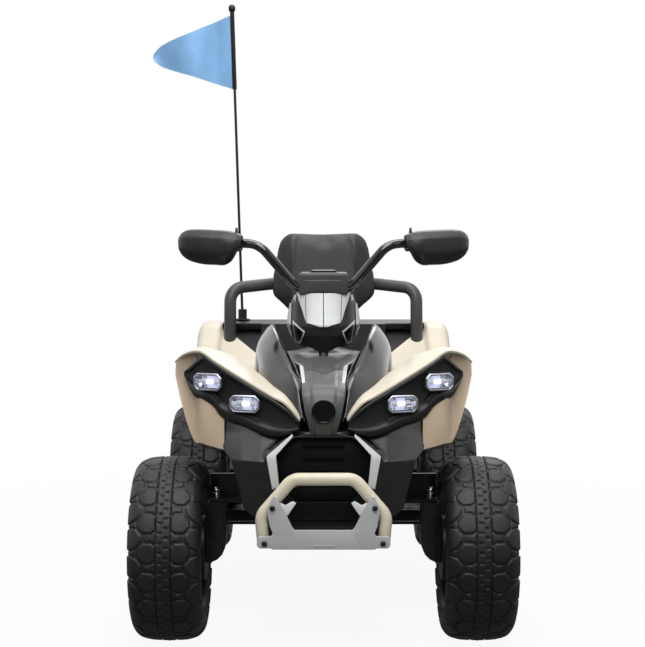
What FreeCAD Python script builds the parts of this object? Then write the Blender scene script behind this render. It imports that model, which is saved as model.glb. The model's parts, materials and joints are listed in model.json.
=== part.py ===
"""Kids electric quad bike, built as the separate pieces it would come apart into on a bench.

Units are millimetres. +Z is up, the bike faces -Y and +X is the rider's left. The origin lies on the
ground, on the bike's middle plane and half way between the axles.
"""

import FreeCAD, Part
import math
import os
from types import SimpleNamespace

import Sketcher
from FreeCAD import Placement, Rotation, Vector

# Driving dimensions, in millimetres unless the name says angle or count
SIZES = {
    # wheels and axles
    "wheelbase": 720,
    "track": 546,
    "tyre_diameter": 330,
    "tyre_width": 124,
    "tyre_wall": 7,
    "tread_groove": 3,
    "rim_diameter": 184,
    "rim_width": 100,
    "rim_wall": 5,
    "rim_lip": 6,
    "hub_diameter": 42,
    "spoke_count": 6,
    "spindle_diameter": 12,
    "gearbox_diameter": 116,
    "gearbox_depth": 38,
    "gearbox_wall": 4,
    # clearances
    "running_gap": 0.05,
    "panel_gap": 0.5,
    "seat_gap": 0.3,
    "link_gap": 0.4,
    "cut_overrun": 5,
    # heights that set the body over the wheels
    "fender_gap": 15,
    "crest_rise": 180,
    "nose_reach": 135,
    "panel_wall": 4,
    # front axle and steering
    "kingpin_offset": 81,
    "kingpin_diameter": 10,
    "upright_height": 84,
    "upright_width": 36,
    "upright_depth": 40,
    "beam_height": 48,
    "beam_depth": 38,
    "beam_shelf": 6,
    "beam_web": 8,
    "steer_arm_length": 60,
    "steer_arm_width": 20,
    "steer_arm_thickness": 8,
    "tie_rod_diameter": 6,
    "tie_eye_diameter": 18,
    "tie_eye_thickness": 6,
    "tie_pin_diameter": 8,
    "column_diameter": 18,
    "column_top_rise": 275,
    "column_tilt_angle": 22,
    "crank_thickness": 6,
    "crank_pin_drop": 12,
    "bearing_length": 30,
    "bearing_diameter": 34,
    # handlebar group
    "bar_diameter": 18,
    "bar_centre_run": 48,
    "bar_knee_out": 122,
    "bar_knee_rise": 86,
    "bar_knee_back": 8,
    "bar_end_out": 271,
    "bar_end_rise": 92,
    "bar_end_back": 58,
    "bar_bend_radius": 46,
    "grip_diameter": 29,
    "grip_length": 103,
    "switch_width": 17,
    "switch_diameter": 32,
    "switch_ear": 13,
    "guard_wall": 3,
    "guard_reach": 50,
    "guard_height": 66,
    "dash_width": 92,
    "dash_depth": 52,
    "dash_height": 44,
    "nacelle_width": 132,
    "nacelle_depth": 92,
    "nacelle_height": 104,
    "nacelle_wall": 3,
    "bar_wall": 2,
    "button_diameter": 14,
    "button_height": 6,
    "horn_boss": 22,
    "button_travel": 3,
    "button_stem": 8,
    # front body
    "fender_half_width": 268,
    "bezel_depth": 26,
    "bezel_proud": 9,
    "lamp_width": 52,
    "lamp_height": 30,
    "lamp_depth": 16,
    "lamp_corner": 9,
    "lens_thickness": 4,
    "jaw_half_width": 112,
    "jaw_reach": 166,
    "jaw_rise": 41,
    "jaw_height": 32,
    "fairing_wall": 7,
    "lamp_outer_yaw_angle": 25,
    "lamp_inner_yaw_angle": 16,
    "recess_depth": 24,
    "grille_wall": 4,
    "trim_width": 11,
    "trim_proud": 3,
    "emblem_diameter": 41,
    "emblem_thickness": 4,
    # bumper
    "bumper_tube": 21.5,
    "bumper_height": 118,
    "bumper_bend_radius": 26,
    "plate_thickness": 4,
    "plate_half_width": 113,
    "bolt_diameter": 6,
    "bolt_head": 11,
    "bolt_head_height": 3,
    # chassis tub, seat base and tail
    "tub_clearance": 15,
    "floor_thickness": 9,
    "footwell_width": 580,
    "tunnel_width": 220,
    "tub_wall": 6,
    "footwell_front_gap": 64,
    "footwell_rear_gap": 32,
    "footwell_lean": 9,
    "footwell_lip": 16,
    "column_slot": 100,
    "seat_base_height": 70,
    "tail_width": 276,
    "tail_rise": 117,
    "tail_overhang": 155,
    "tail_wing_half_width": 225,
    "tail_wing_thickness": 12,
    "rear_fender_width": 142,
    "rear_fender_lip": 34,
    "axle_beam_square": 40,
    # seat, backrest, rail and flag
    "seat_thickness": 58,
    "seat_half_width": 122,
    "backrest_half_width": 115,
    "backrest_height": 196,
    "backrest_thickness": 46,
    "rail_diameter": 27,
    "rail_half_width": 207,
    "rail_height": 128,
    "rail_bend_radius": 34,
    "rail_sink": 12,
    "flag_pole_diameter": 6,
    "flag_pole_height": 700,
    "flag_pole_lean": 21,
    "flag_pole_out": 47,
    "flag_tip_diameter": 13,
    "flag_sleeve_diameter": 10,
    "flag_hoist": 166,
    "flag_length": 184,
    "flag_thickness": 1.2,
    "socket_diameter": 20,
    "socket_height": 26,
    "socket_flange": 34,
    "socket_flange_height": 4,
    # drive and controls
    "battery_length": 150,
    "battery_width": 98,
    "battery_height": 95,
    "pedal_length": 118,
    "pedal_width": 62,
    "pedal_thickness": 8,
    "pedal_angle": 24,
    "pedal_pin_diameter": 8,
    "pedal_lug": 7,
    "charge_bore": 5.6,
    "charge_body": 16,
    "charge_depth": 18,
    "charge_flange": 24,
    "charge_flange_height": 3,
}

doc = FreeCAD.newDocument("KidsQuadBike")


def make_sheet():
    """The sheet of driving dimensions, one named cell each."""
    sheet = doc.addObject("Spreadsheet::Sheet", "Sizes")
    for row, (alias, value) in enumerate(SIZES.items(), 1):
        sheet.set(f"A{row}", alias)
        sheet.set(f"B{row}", str(value))
        sheet.setAlias(f"B{row}", alias)
    doc.recompute()
    return sheet


sheet = make_sheet()
s = SimpleNamespace(**{alias: float(sheet.get(alias)) for alias in SIZES})
pieces = {}


def worked_out():
    """Datums that several pieces share, all from the driving dimensions."""
    d = SimpleNamespace()
    d.front_y = -s.wheelbase / 2
    d.rear_y = s.wheelbase / 2
    d.axle_z = s.tyre_diameter / 2
    d.wheel_x = s.track / 2
    d.kingpin_x = d.wheel_x - s.kingpin_offset
    d.waist_z = s.tyre_diameter + s.fender_gap
    d.nose_y = d.front_y - s.nose_reach
    d.upright_top = d.axle_z + s.upright_height
    d.beam_base = d.upright_top + s.seat_gap
    d.beam_top = d.beam_base + s.beam_height
    d.beam_front = d.front_y - s.beam_depth / 2
    d.tie_y = d.front_y + s.steer_arm_length
    d.arm_base = d.axle_z + s.upright_height / 4
    d.arm_top = d.arm_base + s.steer_arm_thickness
    d.tie_base = d.arm_top + s.seat_gap
    d.tie_mid = d.tie_base + s.tie_eye_thickness / 2
    d.bar_z = d.waist_z + s.column_top_rise
    tilt = math.radians(s.column_tilt_angle)
    d.column_axis = Vector(0, math.sin(tilt), math.cos(tilt))
    d.crank_way = Vector(0, math.cos(tilt), -math.sin(tilt))
    d.crank_tip = Vector(0, d.tie_y, d.tie_mid) + d.column_axis * s.crank_pin_drop
    d.column_foot = d.crank_tip - d.crank_way * s.steer_arm_length
    d.bar_y = d.column_foot.y + (d.bar_z - d.column_foot.z) * math.tan(tilt)
    d.bar_centre = Vector(0, d.bar_y, d.bar_z)
    d.fairing_back = d.beam_front - s.link_gap
    d.jaw_y = d.front_y - s.jaw_reach
    d.jaw_base = d.axle_z + s.jaw_rise
    d.jaw_top = d.jaw_base + s.jaw_height
    d.tub_top = d.waist_z - s.fender_gap
    d.seat_z = d.tub_top + s.seat_base_height
    d.tail_z = d.seat_z + s.tail_rise
    return d


d = worked_out()


def register(label, shape_object):
    """Keeps a finished object under the label that names its file."""
    shape_object.Label = label
    pieces[label] = shape_object
    return shape_object


def feature(label, shape):
    """A piece whose shape is worked out here from the sheet's values."""
    made = doc.addObject("Part::Feature", label)
    made.Shape = shape
    return register(label, made)


def plane_of(body, role):
    """One of a body's own origin planes or axes, by its role."""
    return next(f for f in body.Origin.OriginFeatures if f.Role == role)


def value_of(expression):
    """What an expression on the sheet comes to just now."""
    result = sheet.evalExpression(expression)
    return float(getattr(result, "Value", result))


def outline(body, name, plane, points):
    """A closed sketch of straight sides. Each corner is a pair of expressions on the sheet."""
    sketch = body.newObject("Sketcher::SketchObject", name)
    sketch.AttachmentSupport = (plane_of(body, plane), "")
    sketch.MapMode = "FlatFace"
    corners = [[value_of(expression) for expression in pair] for pair in points]
    count = len(corners)
    for here in range(count):
        a, b = corners[here], corners[(here + 1) % count]
        sketch.addGeometry(Part.LineSegment(Vector(*a, 0), Vector(*b, 0)))
    for here in range(count):
        sketch.addConstraint(Sketcher.Constraint("Coincident", here, 2, (here + 1) % count, 1))
    for here, pair in enumerate(points):
        for kind, expression, value in zip(("DistanceX", "DistanceY"), pair, corners[here]):
            index = sketch.addConstraint(Sketcher.Constraint(kind, here, 1, value))
            sketch.setExpression(f"Constraints[{index}]", expression)
    return sketch


def mirrored(shape):
    """The same piece on the other side of the bike."""
    return shape.mirror(Vector(0, 0, 0), Vector(1, 0, 0))


def loft(sections, ruled=True):
    """A closed solid through flat sections with equal numbers of corners."""
    wires = [Part.makePolygon(list(points) + [points[0]]) for points in sections]
    made = Part.makeLoft(wires, True, ruled)
    if made.Volume < 0:
        made.reverse()
    return made


def largest(shape):
    """The main solid of a cut, without the crumbs."""
    return max(shape.Solids, key=lambda solid: solid.Volume)


def offset_line(line, wall):
    """A line of (a, b) points moved sideways by wall, to the right of its direction, with mitred corners."""
    moved = []
    for here, (a, b) in enumerate(line):
        before = line[max(here - 1, 0)]
        after = line[min(here + 1, len(line) - 1)]
        sides = []
        for start, end in ((before, (a, b)), ((a, b), after)):
            run = math.hypot(end[0] - start[0], end[1] - start[1])
            if run > 0:
                sides.append(((end[1] - start[1]) / run, -(end[0] - start[0]) / run))
        nx = sum(n[0] for n in sides) / len(sides)
        ny = sum(n[1] for n in sides) / len(sides)
        square = nx * nx + ny * ny
        moved.append((a + nx * wall / square, b + ny * wall / square))
    return moved


def strip(line, wall):
    """The closed outline of a wall that follows a line."""
    return list(line) + list(reversed(offset_line(line, wall)))


def bent_path(points, radius):
    """A wire of straight runs joined by tangent arcs."""
    edges = []
    start = points[0]
    for before, corner, after in zip(points, points[1:], points[2:]):
        to_start = (before - corner).normalize()
        to_end = (after - corner).normalize()
        half = to_start.getAngle(to_end) / 2
        setback = radius / math.tan(half)
        arc_start = corner + to_start * setback
        arc_end = corner + to_end * setback
        middle = (to_start + to_end).normalize()
        arc_mid = corner + middle * (radius / math.sin(half) - radius)
        edges.append(Part.LineSegment(start, arc_start).toShape())
        edges.append(Part.Arc(arc_start, arc_mid, arc_end).toShape())
        start = arc_end
    edges.append(Part.LineSegment(start, points[-1]).toShape())
    return Part.Wire(edges)


def tube(points, bend_radius, diameter, bore=0):
    """A round tube or bar along a bent path."""
    path = bent_path(points, bend_radius)
    direction = points[1] - points[0]
    ring = Part.Wire(Part.makeCircle(diameter / 2, points[0], direction))
    made = path.makePipeShell([ring], True, False)
    if bore:
        inner = Part.Wire(Part.makeCircle(bore / 2, points[0], direction))
        made = made.cut(path.makePipeShell([inner], True, False))
    return made


def rod(start, end, diameter):
    """A round bar from one point to another."""
    run = end - start
    return Part.makeCylinder(diameter / 2, run.Length, start, run)


def block(low, high):
    """A rectangular block between two corners."""
    return Part.makeBox(high.x - low.x, high.y - low.y, high.z - low.z, low)


def across(x, line):
    """A section at one place across the bike, from (y, z) points."""
    return [Vector(x, y, z) for y, z in line]


def along(y, line):
    """A section at one place along the bike, from (x, z) points."""
    return [Vector(x, y, z) for x, z in line]


def level(z, line):
    """A section at one height, from (x, y) points."""
    return [Vector(x, y, z) for x, y in line]


# Datums as expressions on the sheet, for the pieces that are bound to it
FRONT_Y = "(-Sizes.wheelbase / 2)"
REAR_Y = "(Sizes.wheelbase / 2)"
AXLE_Z = "(Sizes.tyre_diameter / 2)"
WHEEL_X = "(Sizes.track / 2)"
KINGPIN_X = "(Sizes.track / 2 - Sizes.kingpin_offset)"
UPRIGHT_TOP = "(Sizes.tyre_diameter / 2 + Sizes.upright_height)"
GEARBOX_X = f"({KINGPIN_X} + Sizes.upright_width / 2 + Sizes.seat_gap)"
TUB_BASE = f"({AXLE_Z} - Sizes.tub_clearance)"
FLOOR_Z = f"({AXLE_Z} + Sizes.floor_thickness)"
TUB_TOP = "Sizes.tyre_diameter"
SEAT_Z = f"({TUB_TOP} + Sizes.seat_base_height)"
TAIL_Z = f"({SEAT_Z} + Sizes.tail_rise)"
AXIS_TURNS = {
    "x": Rotation(Vector(0, 0, 1), Vector(1, 0, 0)),
    "y": Rotation(Vector(0, 0, 1), Vector(0, 1, 0)),
    "z": Rotation(),
}


def cylinder(name, diameter, height, base, axis="z"):
    """A round bar bound to the sheet."""
    made = doc.addObject("Part::Cylinder", name)
    made.Placement = Placement(Vector(), AXIS_TURNS[axis])
    made.setExpression("Radius", f"({diameter}) / 2")
    made.setExpression("Height", height)
    for letter, expression in zip("xyz", base):
        made.setExpression(f"Placement.Base.{letter}", expression)
    return made


def box(name, size, base):
    """A block bound to the sheet. Its base is the low corner."""
    made = doc.addObject("Part::Box", name)
    for prop, expression in zip(("Length", "Width", "Height"), size):
        made.setExpression(prop, expression)
    for letter, expression in zip("xyz", base):
        made.setExpression(f"Placement.Base.{letter}", expression)
    return made


def fused(name, items):
    """Several bound shapes made one."""
    made = doc.addObject("Part::MultiFuse", name)
    made.Shapes = items
    return made


def removed(name, base, tools):
    """A bound shape with others taken away."""
    tool = tools[0] if len(tools) == 1 else fused(f"{name}_tools", tools)
    made = doc.addObject("Part::Cut", name)
    made.Base = base
    made.Tool = tool
    return made


def together(name, items):
    """Loose pieces of one kind, kept as separate solids under one label."""
    made = doc.addObject("Part::Compound", name)
    made.Links = items
    return made


def flipped(expression):
    """The same distance on the other side of the middle plane."""
    return f"(-({expression}))"


# Wheels
TYRE_EDGE = "(Sizes.tyre_width / 2)"
TYRE_R = "(Sizes.tyre_diameter / 2)"
BEAD_R = "(Sizes.rim_diameter / 2 + Sizes.seat_gap)"
SIDE_R = f"({TYRE_R} - {BEAD_R})"
RIM_R = "(Sizes.rim_diameter / 2)"
RIM_EDGE = "(Sizes.rim_width / 2)"
RIM_BORE = "(Sizes.spindle_diameter / 2 + Sizes.running_gap)"
HUB_OUT = f"({RIM_EDGE} - Sizes.rim_lip)"
WEB_OUT = f"({RIM_EDGE} - 3 * Sizes.rim_lip)"
WEB_IN = f"({WEB_OUT} - 2 * Sizes.rim_wall)"
HUB_IN = f"(-2 * Sizes.rim_wall)"


def tyre(label, turn, y):
    """A hollow tyre, turned about the wheel's axis, with a groove each side of the centre band."""
    body = doc.addObject("PartDesign::Body", label)
    wall = "Sizes.tyre_wall"
    groove = "Sizes.tread_groove"
    half = [
        (f"{TYRE_EDGE} * 0.8", BEAD_R),
        (f"{TYRE_EDGE}", f"{BEAD_R} + {SIDE_R} * 0.35"),
        (f"{TYRE_EDGE}", f"{TYRE_R} - {SIDE_R} * 0.28"),
        (f"{TYRE_EDGE} * 0.76", TYRE_R),
        (f"{TYRE_EDGE} * 0.12", TYRE_R),
        (f"{TYRE_EDGE} * 0.12", f"{TYRE_R} - {groove}"),
    ]
    inner = [
        (f"{TYRE_EDGE} * 0.76 - {wall} / 2", f"{TYRE_R} - {wall} - {groove}"),
        (f"{TYRE_EDGE} - {wall}", f"{TYRE_R} - {SIDE_R} * 0.28 - {wall} / 2"),
        (f"{TYRE_EDGE} - {wall}", f"{BEAD_R} + {SIDE_R} * 0.35"),
        (f"{TYRE_EDGE} * 0.8 - {wall}", BEAD_R),
    ]
    points = half + [(flipped(x), r) for x, r in reversed(half)]
    points += [(flipped(x), r) for x, r in reversed(inner)] + inner
    sketch = outline(body, f"{label}_profile", "XZ_Plane", points)
    spin = body.newObject("PartDesign::Revolution", f"{label}_turned")
    spin.Profile = sketch
    spin.ReferenceAxis = (plane_of(body, "X_Axis"), [""])
    spin.Angle = 360
    sketch.Visibility = False
    place_wheel(body, turn, y)
    return register(label, body)


def rim(label, turn, y):
    """A moulded rim: barrel, web with spoke windows and a bored hub."""
    body = doc.addObject("PartDesign::Body", label)
    inner_r = f"({RIM_R} - Sizes.rim_wall)"
    hub_r = "(Sizes.hub_diameter / 2)"
    points = [
        (HUB_IN, RIM_BORE),
        (HUB_OUT, RIM_BORE),
        (HUB_OUT, hub_r),
        (WEB_OUT, hub_r),
        (WEB_OUT, inner_r),
        (RIM_EDGE, inner_r),
        (RIM_EDGE, RIM_R),
        (flipped(RIM_EDGE), RIM_R),
        (flipped(RIM_EDGE), inner_r),
        (WEB_IN, inner_r),
        (WEB_IN, hub_r),
        (HUB_IN, hub_r),
    ]
    sketch = outline(body, f"{label}_profile", "XZ_Plane", points)
    spin = body.newObject("PartDesign::Revolution", f"{label}_turned")
    spin.Profile = sketch
    spin.ReferenceAxis = (plane_of(body, "X_Axis"), [""])
    spin.Angle = 360
    sketch.Visibility = False
    window = [
        (f"-{RIM_R} * 0.14", f"{RIM_R} * 0.38"),
        (f"{RIM_R} * 0.14", f"{RIM_R} * 0.38"),
        (f"{RIM_R} * 0.28", f"{RIM_R} * 0.8"),
        (f"-{RIM_R} * 0.28", f"{RIM_R} * 0.8"),
    ]
    hole = outline(body, f"{label}_window", "YZ_Plane", window)
    pocket = body.newObject("PartDesign::Pocket", f"{label}_opening")
    pocket.Profile = hole
    pocket.SideType = "Symmetric"
    pocket.Type = "ThroughAll"
    hole.Visibility = False
    ring = body.newObject("PartDesign::PolarPattern", f"{label}_windows")
    ring.Originals = [pocket]
    ring.Axis = (plane_of(body, "X_Axis"), [""])
    ring.Angle = 360
    ring.setExpression("Occurrences", "Sizes.spoke_count")
    body.Tip = ring
    place_wheel(body, turn, y)
    return register(label, body)


def place_wheel(body, turn, y):
    """Stands a wheel at its axle. Turn is 1 on the rider's left and -1 on the right."""
    body.Placement = Placement(Vector(), Rotation(Vector(0, 0, 1), 0 if turn > 0 else 180))
    body.setExpression("Placement.Base.x", WHEEL_X if turn > 0 else flipped(WHEEL_X))
    body.setExpression("Placement.Base.y", y)
    body.setExpression("Placement.Base.z", AXLE_Z)


for end, end_y in (("front", FRONT_Y), ("rear", REAR_Y)):
    for side, turn in (("left", 1), ("right", -1)):
        tyre(f"{end}_tyre_{side}", turn, end_y)
        rim(f"{end}_rim_{side}", turn, end_y)


# Front axle, knuckles and tie rod
BEAM_BASE = f"({UPRIGHT_TOP} + Sizes.seat_gap)"
BEAM_TOP = f"({BEAM_BASE} + Sizes.beam_height)"
SHELF_TOP = f"({BEAM_BASE} + Sizes.beam_shelf)"
BEAM_END = f"({KINGPIN_X} + Sizes.upright_width / 2)"
SHELF_END = f"({KINGPIN_X} + Sizes.upright_width * 0.3)"
ARM_BASE = f"({AXLE_Z} + Sizes.upright_height / 4)"
ARM_TOP = f"({ARM_BASE} + Sizes.steer_arm_thickness)"
TIE_Y = f"({FRONT_Y} + Sizes.steer_arm_length)"
PIN_DEPTH = "(Sizes.upright_height * 0.7)"
HUB_FACE = f"({WHEEL_X} + {HUB_OUT})"
NUT_HEIGHT = "(Sizes.spindle_diameter * 0.7)"


def front_axle_beam():
    """An angle beam: a shelf over the uprights, a web behind and the column's bush welded in."""
    body = doc.addObject("PartDesign::Body", "front_axle_channel")
    web_top = f"({BEAM_TOP} - Sizes.beam_height / 4)"
    half = [
        (SHELF_END, BEAM_BASE),
        (SHELF_END, BEAM_TOP),
        (f"{SHELF_END} - Sizes.upright_width * 1.6", BEAM_TOP),
        (f"{SHELF_END} - Sizes.upright_width * 2", web_top),
    ]
    points = half + [(flipped(x), z) for x, z in reversed(half)]
    sketch = outline(body, "front_axle_face", "XZ_Plane", points)
    pad = body.newObject("PartDesign::Pad", "front_axle_pad")
    pad.Profile = sketch
    pad.SideType = "Symmetric"
    pad.setExpression("Length", "Sizes.beam_depth")
    sketch.Visibility = False
    body.setExpression("Placement.Base.y", FRONT_Y)
    hollow = box(
        "front_axle_hollow",
        (f"2 * {SHELF_END} + 2 * Sizes.cut_overrun", "Sizes.beam_depth", "Sizes.beam_height"),
        (f"(-{SHELF_END} - Sizes.cut_overrun)", f"{FRONT_Y} - Sizes.beam_depth / 2 - Sizes.beam_web",
         f"{BEAM_BASE} + Sizes.beam_shelf"),
    )
    holes = [
        cylinder(f"kingpin_hole_{side}", "Sizes.kingpin_diameter + 2 * Sizes.seat_gap",
                 "Sizes.beam_height + 2 * Sizes.cut_overrun",
                 (x, FRONT_Y, f"{BEAM_BASE} - Sizes.cut_overrun"))
        for side, x in (("left", KINGPIN_X), ("right", flipped(KINGPIN_X)))
    ]
    beam = removed("front_axle_angle", body, [hollow] + holes)
    bush, bore = column_bush()
    bush_item = doc.addObject("Part::Feature", "column_bush")
    bush_item.Shape = bush
    bore_item = doc.addObject("Part::Feature", "column_bush_bore")
    bore_item.Shape = bore
    welded = fused("front_axle_welded", [beam, bush_item])
    register("front_axle_beam", removed("front_axle_beam", welded, [bore_item]))


def column_bush():
    """The bush that the column turns in, and the bore through it and the beam."""
    reach = (d.beam_top - d.column_foot.z) / d.column_axis.z
    end = d.column_foot + d.column_axis * reach
    start = end - d.column_axis * s.bearing_length
    over = d.column_axis * s.bearing_length
    bore = rod(start - over, end + over, s.column_diameter + 2 * s.running_gap)
    return rod(start, end, s.bearing_diameter), bore


def kingpins():
    """Two pins through the beam into the uprights, each under a domed nut."""
    items = []
    for side, x in (("left", KINGPIN_X), ("right", flipped(KINGPIN_X))):
        shank = cylinder(f"kingpin_shank_{side}", "Sizes.kingpin_diameter",
                         f"{SHELF_TOP} + Sizes.seat_gap - {UPRIGHT_TOP} + {PIN_DEPTH}",
                         (x, FRONT_Y, f"{UPRIGHT_TOP} - {PIN_DEPTH}"))
        nut = cylinder(f"kingpin_nut_{side}", "Sizes.kingpin_diameter * 1.7", "Sizes.kingpin_diameter * 0.8",
                       (x, FRONT_Y, f"{SHELF_TOP} + Sizes.seat_gap"))
        dome = doc.addObject("Part::Sphere", f"kingpin_dome_{side}")
        dome.setExpression("Radius", "Sizes.kingpin_diameter * 0.8")
        dome.setExpression("Placement.Base.x", x)
        dome.setExpression("Placement.Base.y", FRONT_Y)
        dome.setExpression("Placement.Base.z", f"{SHELF_TOP} + Sizes.kingpin_diameter * 1.3")
        items.append(fused(f"kingpin_{side}", [shank, nut, dome]))
    register("kingpins", together("kingpins", items))


def knuckle(side, sign):
    """Upright, stub spindle and steering arm in one, bored for the kingpin."""

    def at(expression):
        return expression if sign > 0 else flipped(expression)

    low_x = f"{at(KINGPIN_X)} - Sizes.upright_width / 2"
    upright = box(f"upright_{side}",
                  ("Sizes.upright_width", "Sizes.upright_depth", "Sizes.upright_height * 1.3"),
                  (low_x, f"{FRONT_Y} - Sizes.upright_depth / 2", f"{AXLE_Z} - Sizes.upright_height * 0.3"))
    spindle_run = f"({HUB_FACE} + Sizes.seat_gap + {NUT_HEIGHT} + Sizes.seat_gap - {KINGPIN_X})"
    spindle_start = KINGPIN_X if sign > 0 else f"(-{KINGPIN_X} - {spindle_run})"
    spindle = cylinder(f"spindle_{side}", "Sizes.spindle_diameter", spindle_run,
                       (spindle_start, FRONT_Y, AXLE_Z), "x")
    arm = box(f"steer_arm_{side}",
              ("Sizes.steer_arm_width", "Sizes.steer_arm_length + Sizes.tie_eye_diameter / 2",
               "Sizes.steer_arm_thickness"),
              (f"{at(KINGPIN_X)} - Sizes.steer_arm_width / 2", FRONT_Y, ARM_BASE))
    pin = cylinder(f"tie_pin_{side}", "Sizes.tie_pin_diameter",
                   "Sizes.steer_arm_thickness + Sizes.tie_eye_thickness * 1.6",
                   (at(KINGPIN_X), TIE_Y, ARM_BASE))
    bore = cylinder(f"kingpin_bore_{side}", "Sizes.kingpin_diameter + 2 * Sizes.running_gap",
                    f"{PIN_DEPTH} + Sizes.cut_overrun",
                    (at(KINGPIN_X), FRONT_Y, f"{UPRIGHT_TOP} - {PIN_DEPTH} - Sizes.seat_gap"))
    whole = fused(f"knuckle_{side}_blank", [upright, spindle, arm, pin])
    register(f"knuckle_{side}", removed(f"knuckle_{side}", whole, [bore]))


def gearbox(name, side, sign, y):
    """A round gear case open towards the wheel, clear of the spindle."""
    start = GEARBOX_X if sign > 0 else f"(-{GEARBOX_X} - Sizes.gearbox_depth)"
    case = cylinder(f"{name}_case", "Sizes.gearbox_diameter", "Sizes.gearbox_depth", (start, y, AXLE_Z), "x")
    inner_start = f"({start} + Sizes.gearbox_wall)" if sign > 0 else f"({start} - Sizes.cut_overrun)"
    inner_run = "(Sizes.gearbox_depth - Sizes.gearbox_wall)"
    room = cylinder(f"{name}_room", "Sizes.gearbox_diameter - 2 * Sizes.gearbox_wall",
                    inner_run if sign > 0 else f"({inner_run} + Sizes.cut_overrun)",
                    (inner_start, y, AXLE_Z), "x")
    hole = cylinder(f"{name}_hole", "Sizes.spindle_diameter + 2 * Sizes.seat_gap",
                    "Sizes.gearbox_depth + 2 * Sizes.cut_overrun",
                    (f"({start} - Sizes.cut_overrun)", y, AXLE_Z), "x")
    return removed(name, case, [room, hole])


def wheel_nut(name, sign, y):
    """The round lock nut that holds a wheel on its spindle."""
    start = f"({HUB_FACE} + Sizes.seat_gap)"
    start = start if sign > 0 else f"(-{start} - {NUT_HEIGHT})"
    nut = cylinder(f"{name}_blank", "Sizes.spindle_diameter * 2", NUT_HEIGHT, (start, y, AXLE_Z), "x")
    bore = cylinder(f"{name}_bore", "Sizes.spindle_diameter + 2 * Sizes.seat_gap",
                    f"{NUT_HEIGHT} + 2 * Sizes.cut_overrun",
                    (f"({start} - Sizes.cut_overrun)", y, AXLE_Z), "x")
    return removed(name, nut, [bore])


def rear_axle_group():
    """The channel beam with the axle shaft welded in its ends, the two rear gear cases and the nuts."""
    square = "Sizes.axle_beam_square"
    housing = box("rear_axle_blank", (f"2 * {BEAM_END}", square, square),
                  (flipped(BEAM_END), f"{REAR_Y} - {square} / 2", f"{AXLE_Z} - {square} / 2"))
    inner = f"({BEAM_END} - {square})"
    hollow = box("rear_axle_hollow", (f"2 * {inner}", f"{square} - 2 * Sizes.beam_shelf", square),
                 (flipped(inner), f"{REAR_Y} - {square} / 2 + Sizes.beam_shelf",
                  f"{AXLE_Z} - {square} / 2 - Sizes.beam_shelf"))
    channel = removed("rear_axle_channel", housing, [hollow])
    half = f"({HUB_FACE} + 2 * Sizes.seat_gap + {NUT_HEIGHT})"
    stubs = cylinder("rear_axle_stubs", "Sizes.spindle_diameter", f"2 * {half}",
                     (flipped(half), REAR_Y, AXLE_Z), "x")
    register("rear_axle_beam", fused("rear_axle_beam", [channel, stubs]))
    cases = [gearbox(f"rear_gearbox_{side}", side, sign, REAR_Y)
             for side, sign in (("left", 1), ("right", -1))]
    register("rear_gearboxes", together("rear_gearboxes", cases))
    nuts = [wheel_nut(f"rear_wheel_nut_{side}", sign, REAR_Y) for side, sign in (("left", 1), ("right", -1))]
    register("rear_wheel_nuts", together("rear_wheel_nuts", nuts))


def tie_rod():
    """A rod with an eye at each knuckle and a slotted plate for the steering crank."""
    eye_r = s.tie_eye_diameter / 2
    solid = rod(Vector(-d.kingpin_x, d.tie_y, d.tie_mid), Vector(d.kingpin_x, d.tie_y, d.tie_mid),
                s.tie_rod_diameter)
    up = Vector(0, 0, 1)
    for x in (-d.kingpin_x, d.kingpin_x):
        solid = solid.fuse(Part.makeCylinder(eye_r, s.tie_eye_thickness, Vector(x, d.tie_y, d.tie_base), up))
    low = Vector(-s.tie_eye_diameter, d.tie_y - s.tie_eye_diameter, d.tie_base)
    high = Vector(s.tie_eye_diameter, d.tie_y + s.tie_eye_diameter, d.tie_base + s.tie_eye_thickness)
    solid = solid.fuse(block(low, high))
    pin_gaps = ((d.kingpin_x, s.running_gap), (-d.kingpin_x, s.link_gap), (0, s.tie_eye_thickness / 2))
    for x, gap in pin_gaps:
        foot = Vector(x, d.tie_y, d.tie_base - s.cut_overrun)
        solid = solid.cut(Part.makeCylinder(s.tie_pin_diameter / 2 + gap, s.tie_eye_thickness + 2 * s.cut_overrun,
                                            foot, up))
    feature("tie_rod", largest(solid.removeSplitter()))


def steering_column():
    """The raked column with its crank and crank pin at the foot, ending under the handlebar."""
    top = d.bar_centre - d.column_axis * (s.bar_diameter / 2 + s.seat_gap)
    solid = rod(d.column_foot, top, s.column_diameter)
    half = s.column_diameter / 2
    crank = Part.makeBox(s.column_diameter, s.steer_arm_length, s.crank_thickness,
                         Vector(-half, 0, -s.crank_thickness / 2))
    crank.Placement = Placement(d.column_foot, Rotation(Vector(1, 0, 0), -s.column_tilt_angle))
    tip = rod(d.crank_tip - d.column_axis * (s.crank_thickness / 2),
              d.crank_tip + d.column_axis * (s.crank_thickness / 2), s.column_diameter)
    pin = rod(d.crank_tip, d.crank_tip - d.column_axis * (s.crank_pin_drop + s.tie_eye_thickness),
              s.tie_pin_diameter)
    feature("steering_column", largest(solid.fuse([crank, tip, pin]).removeSplitter()))


front_axle_beam()
kingpins()
for side, sign in (("left", 1), ("right", -1)):
    knuckle(side, sign)
    register(f"front_gearbox_{side}", gearbox(f"front_gearbox_{side}", side, sign, FRONT_Y))
    register(f"wheel_nut_{side}", wheel_nut(f"wheel_nut_{side}", sign, FRONT_Y))
rear_axle_group()
tie_rod()
steering_column()


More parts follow.
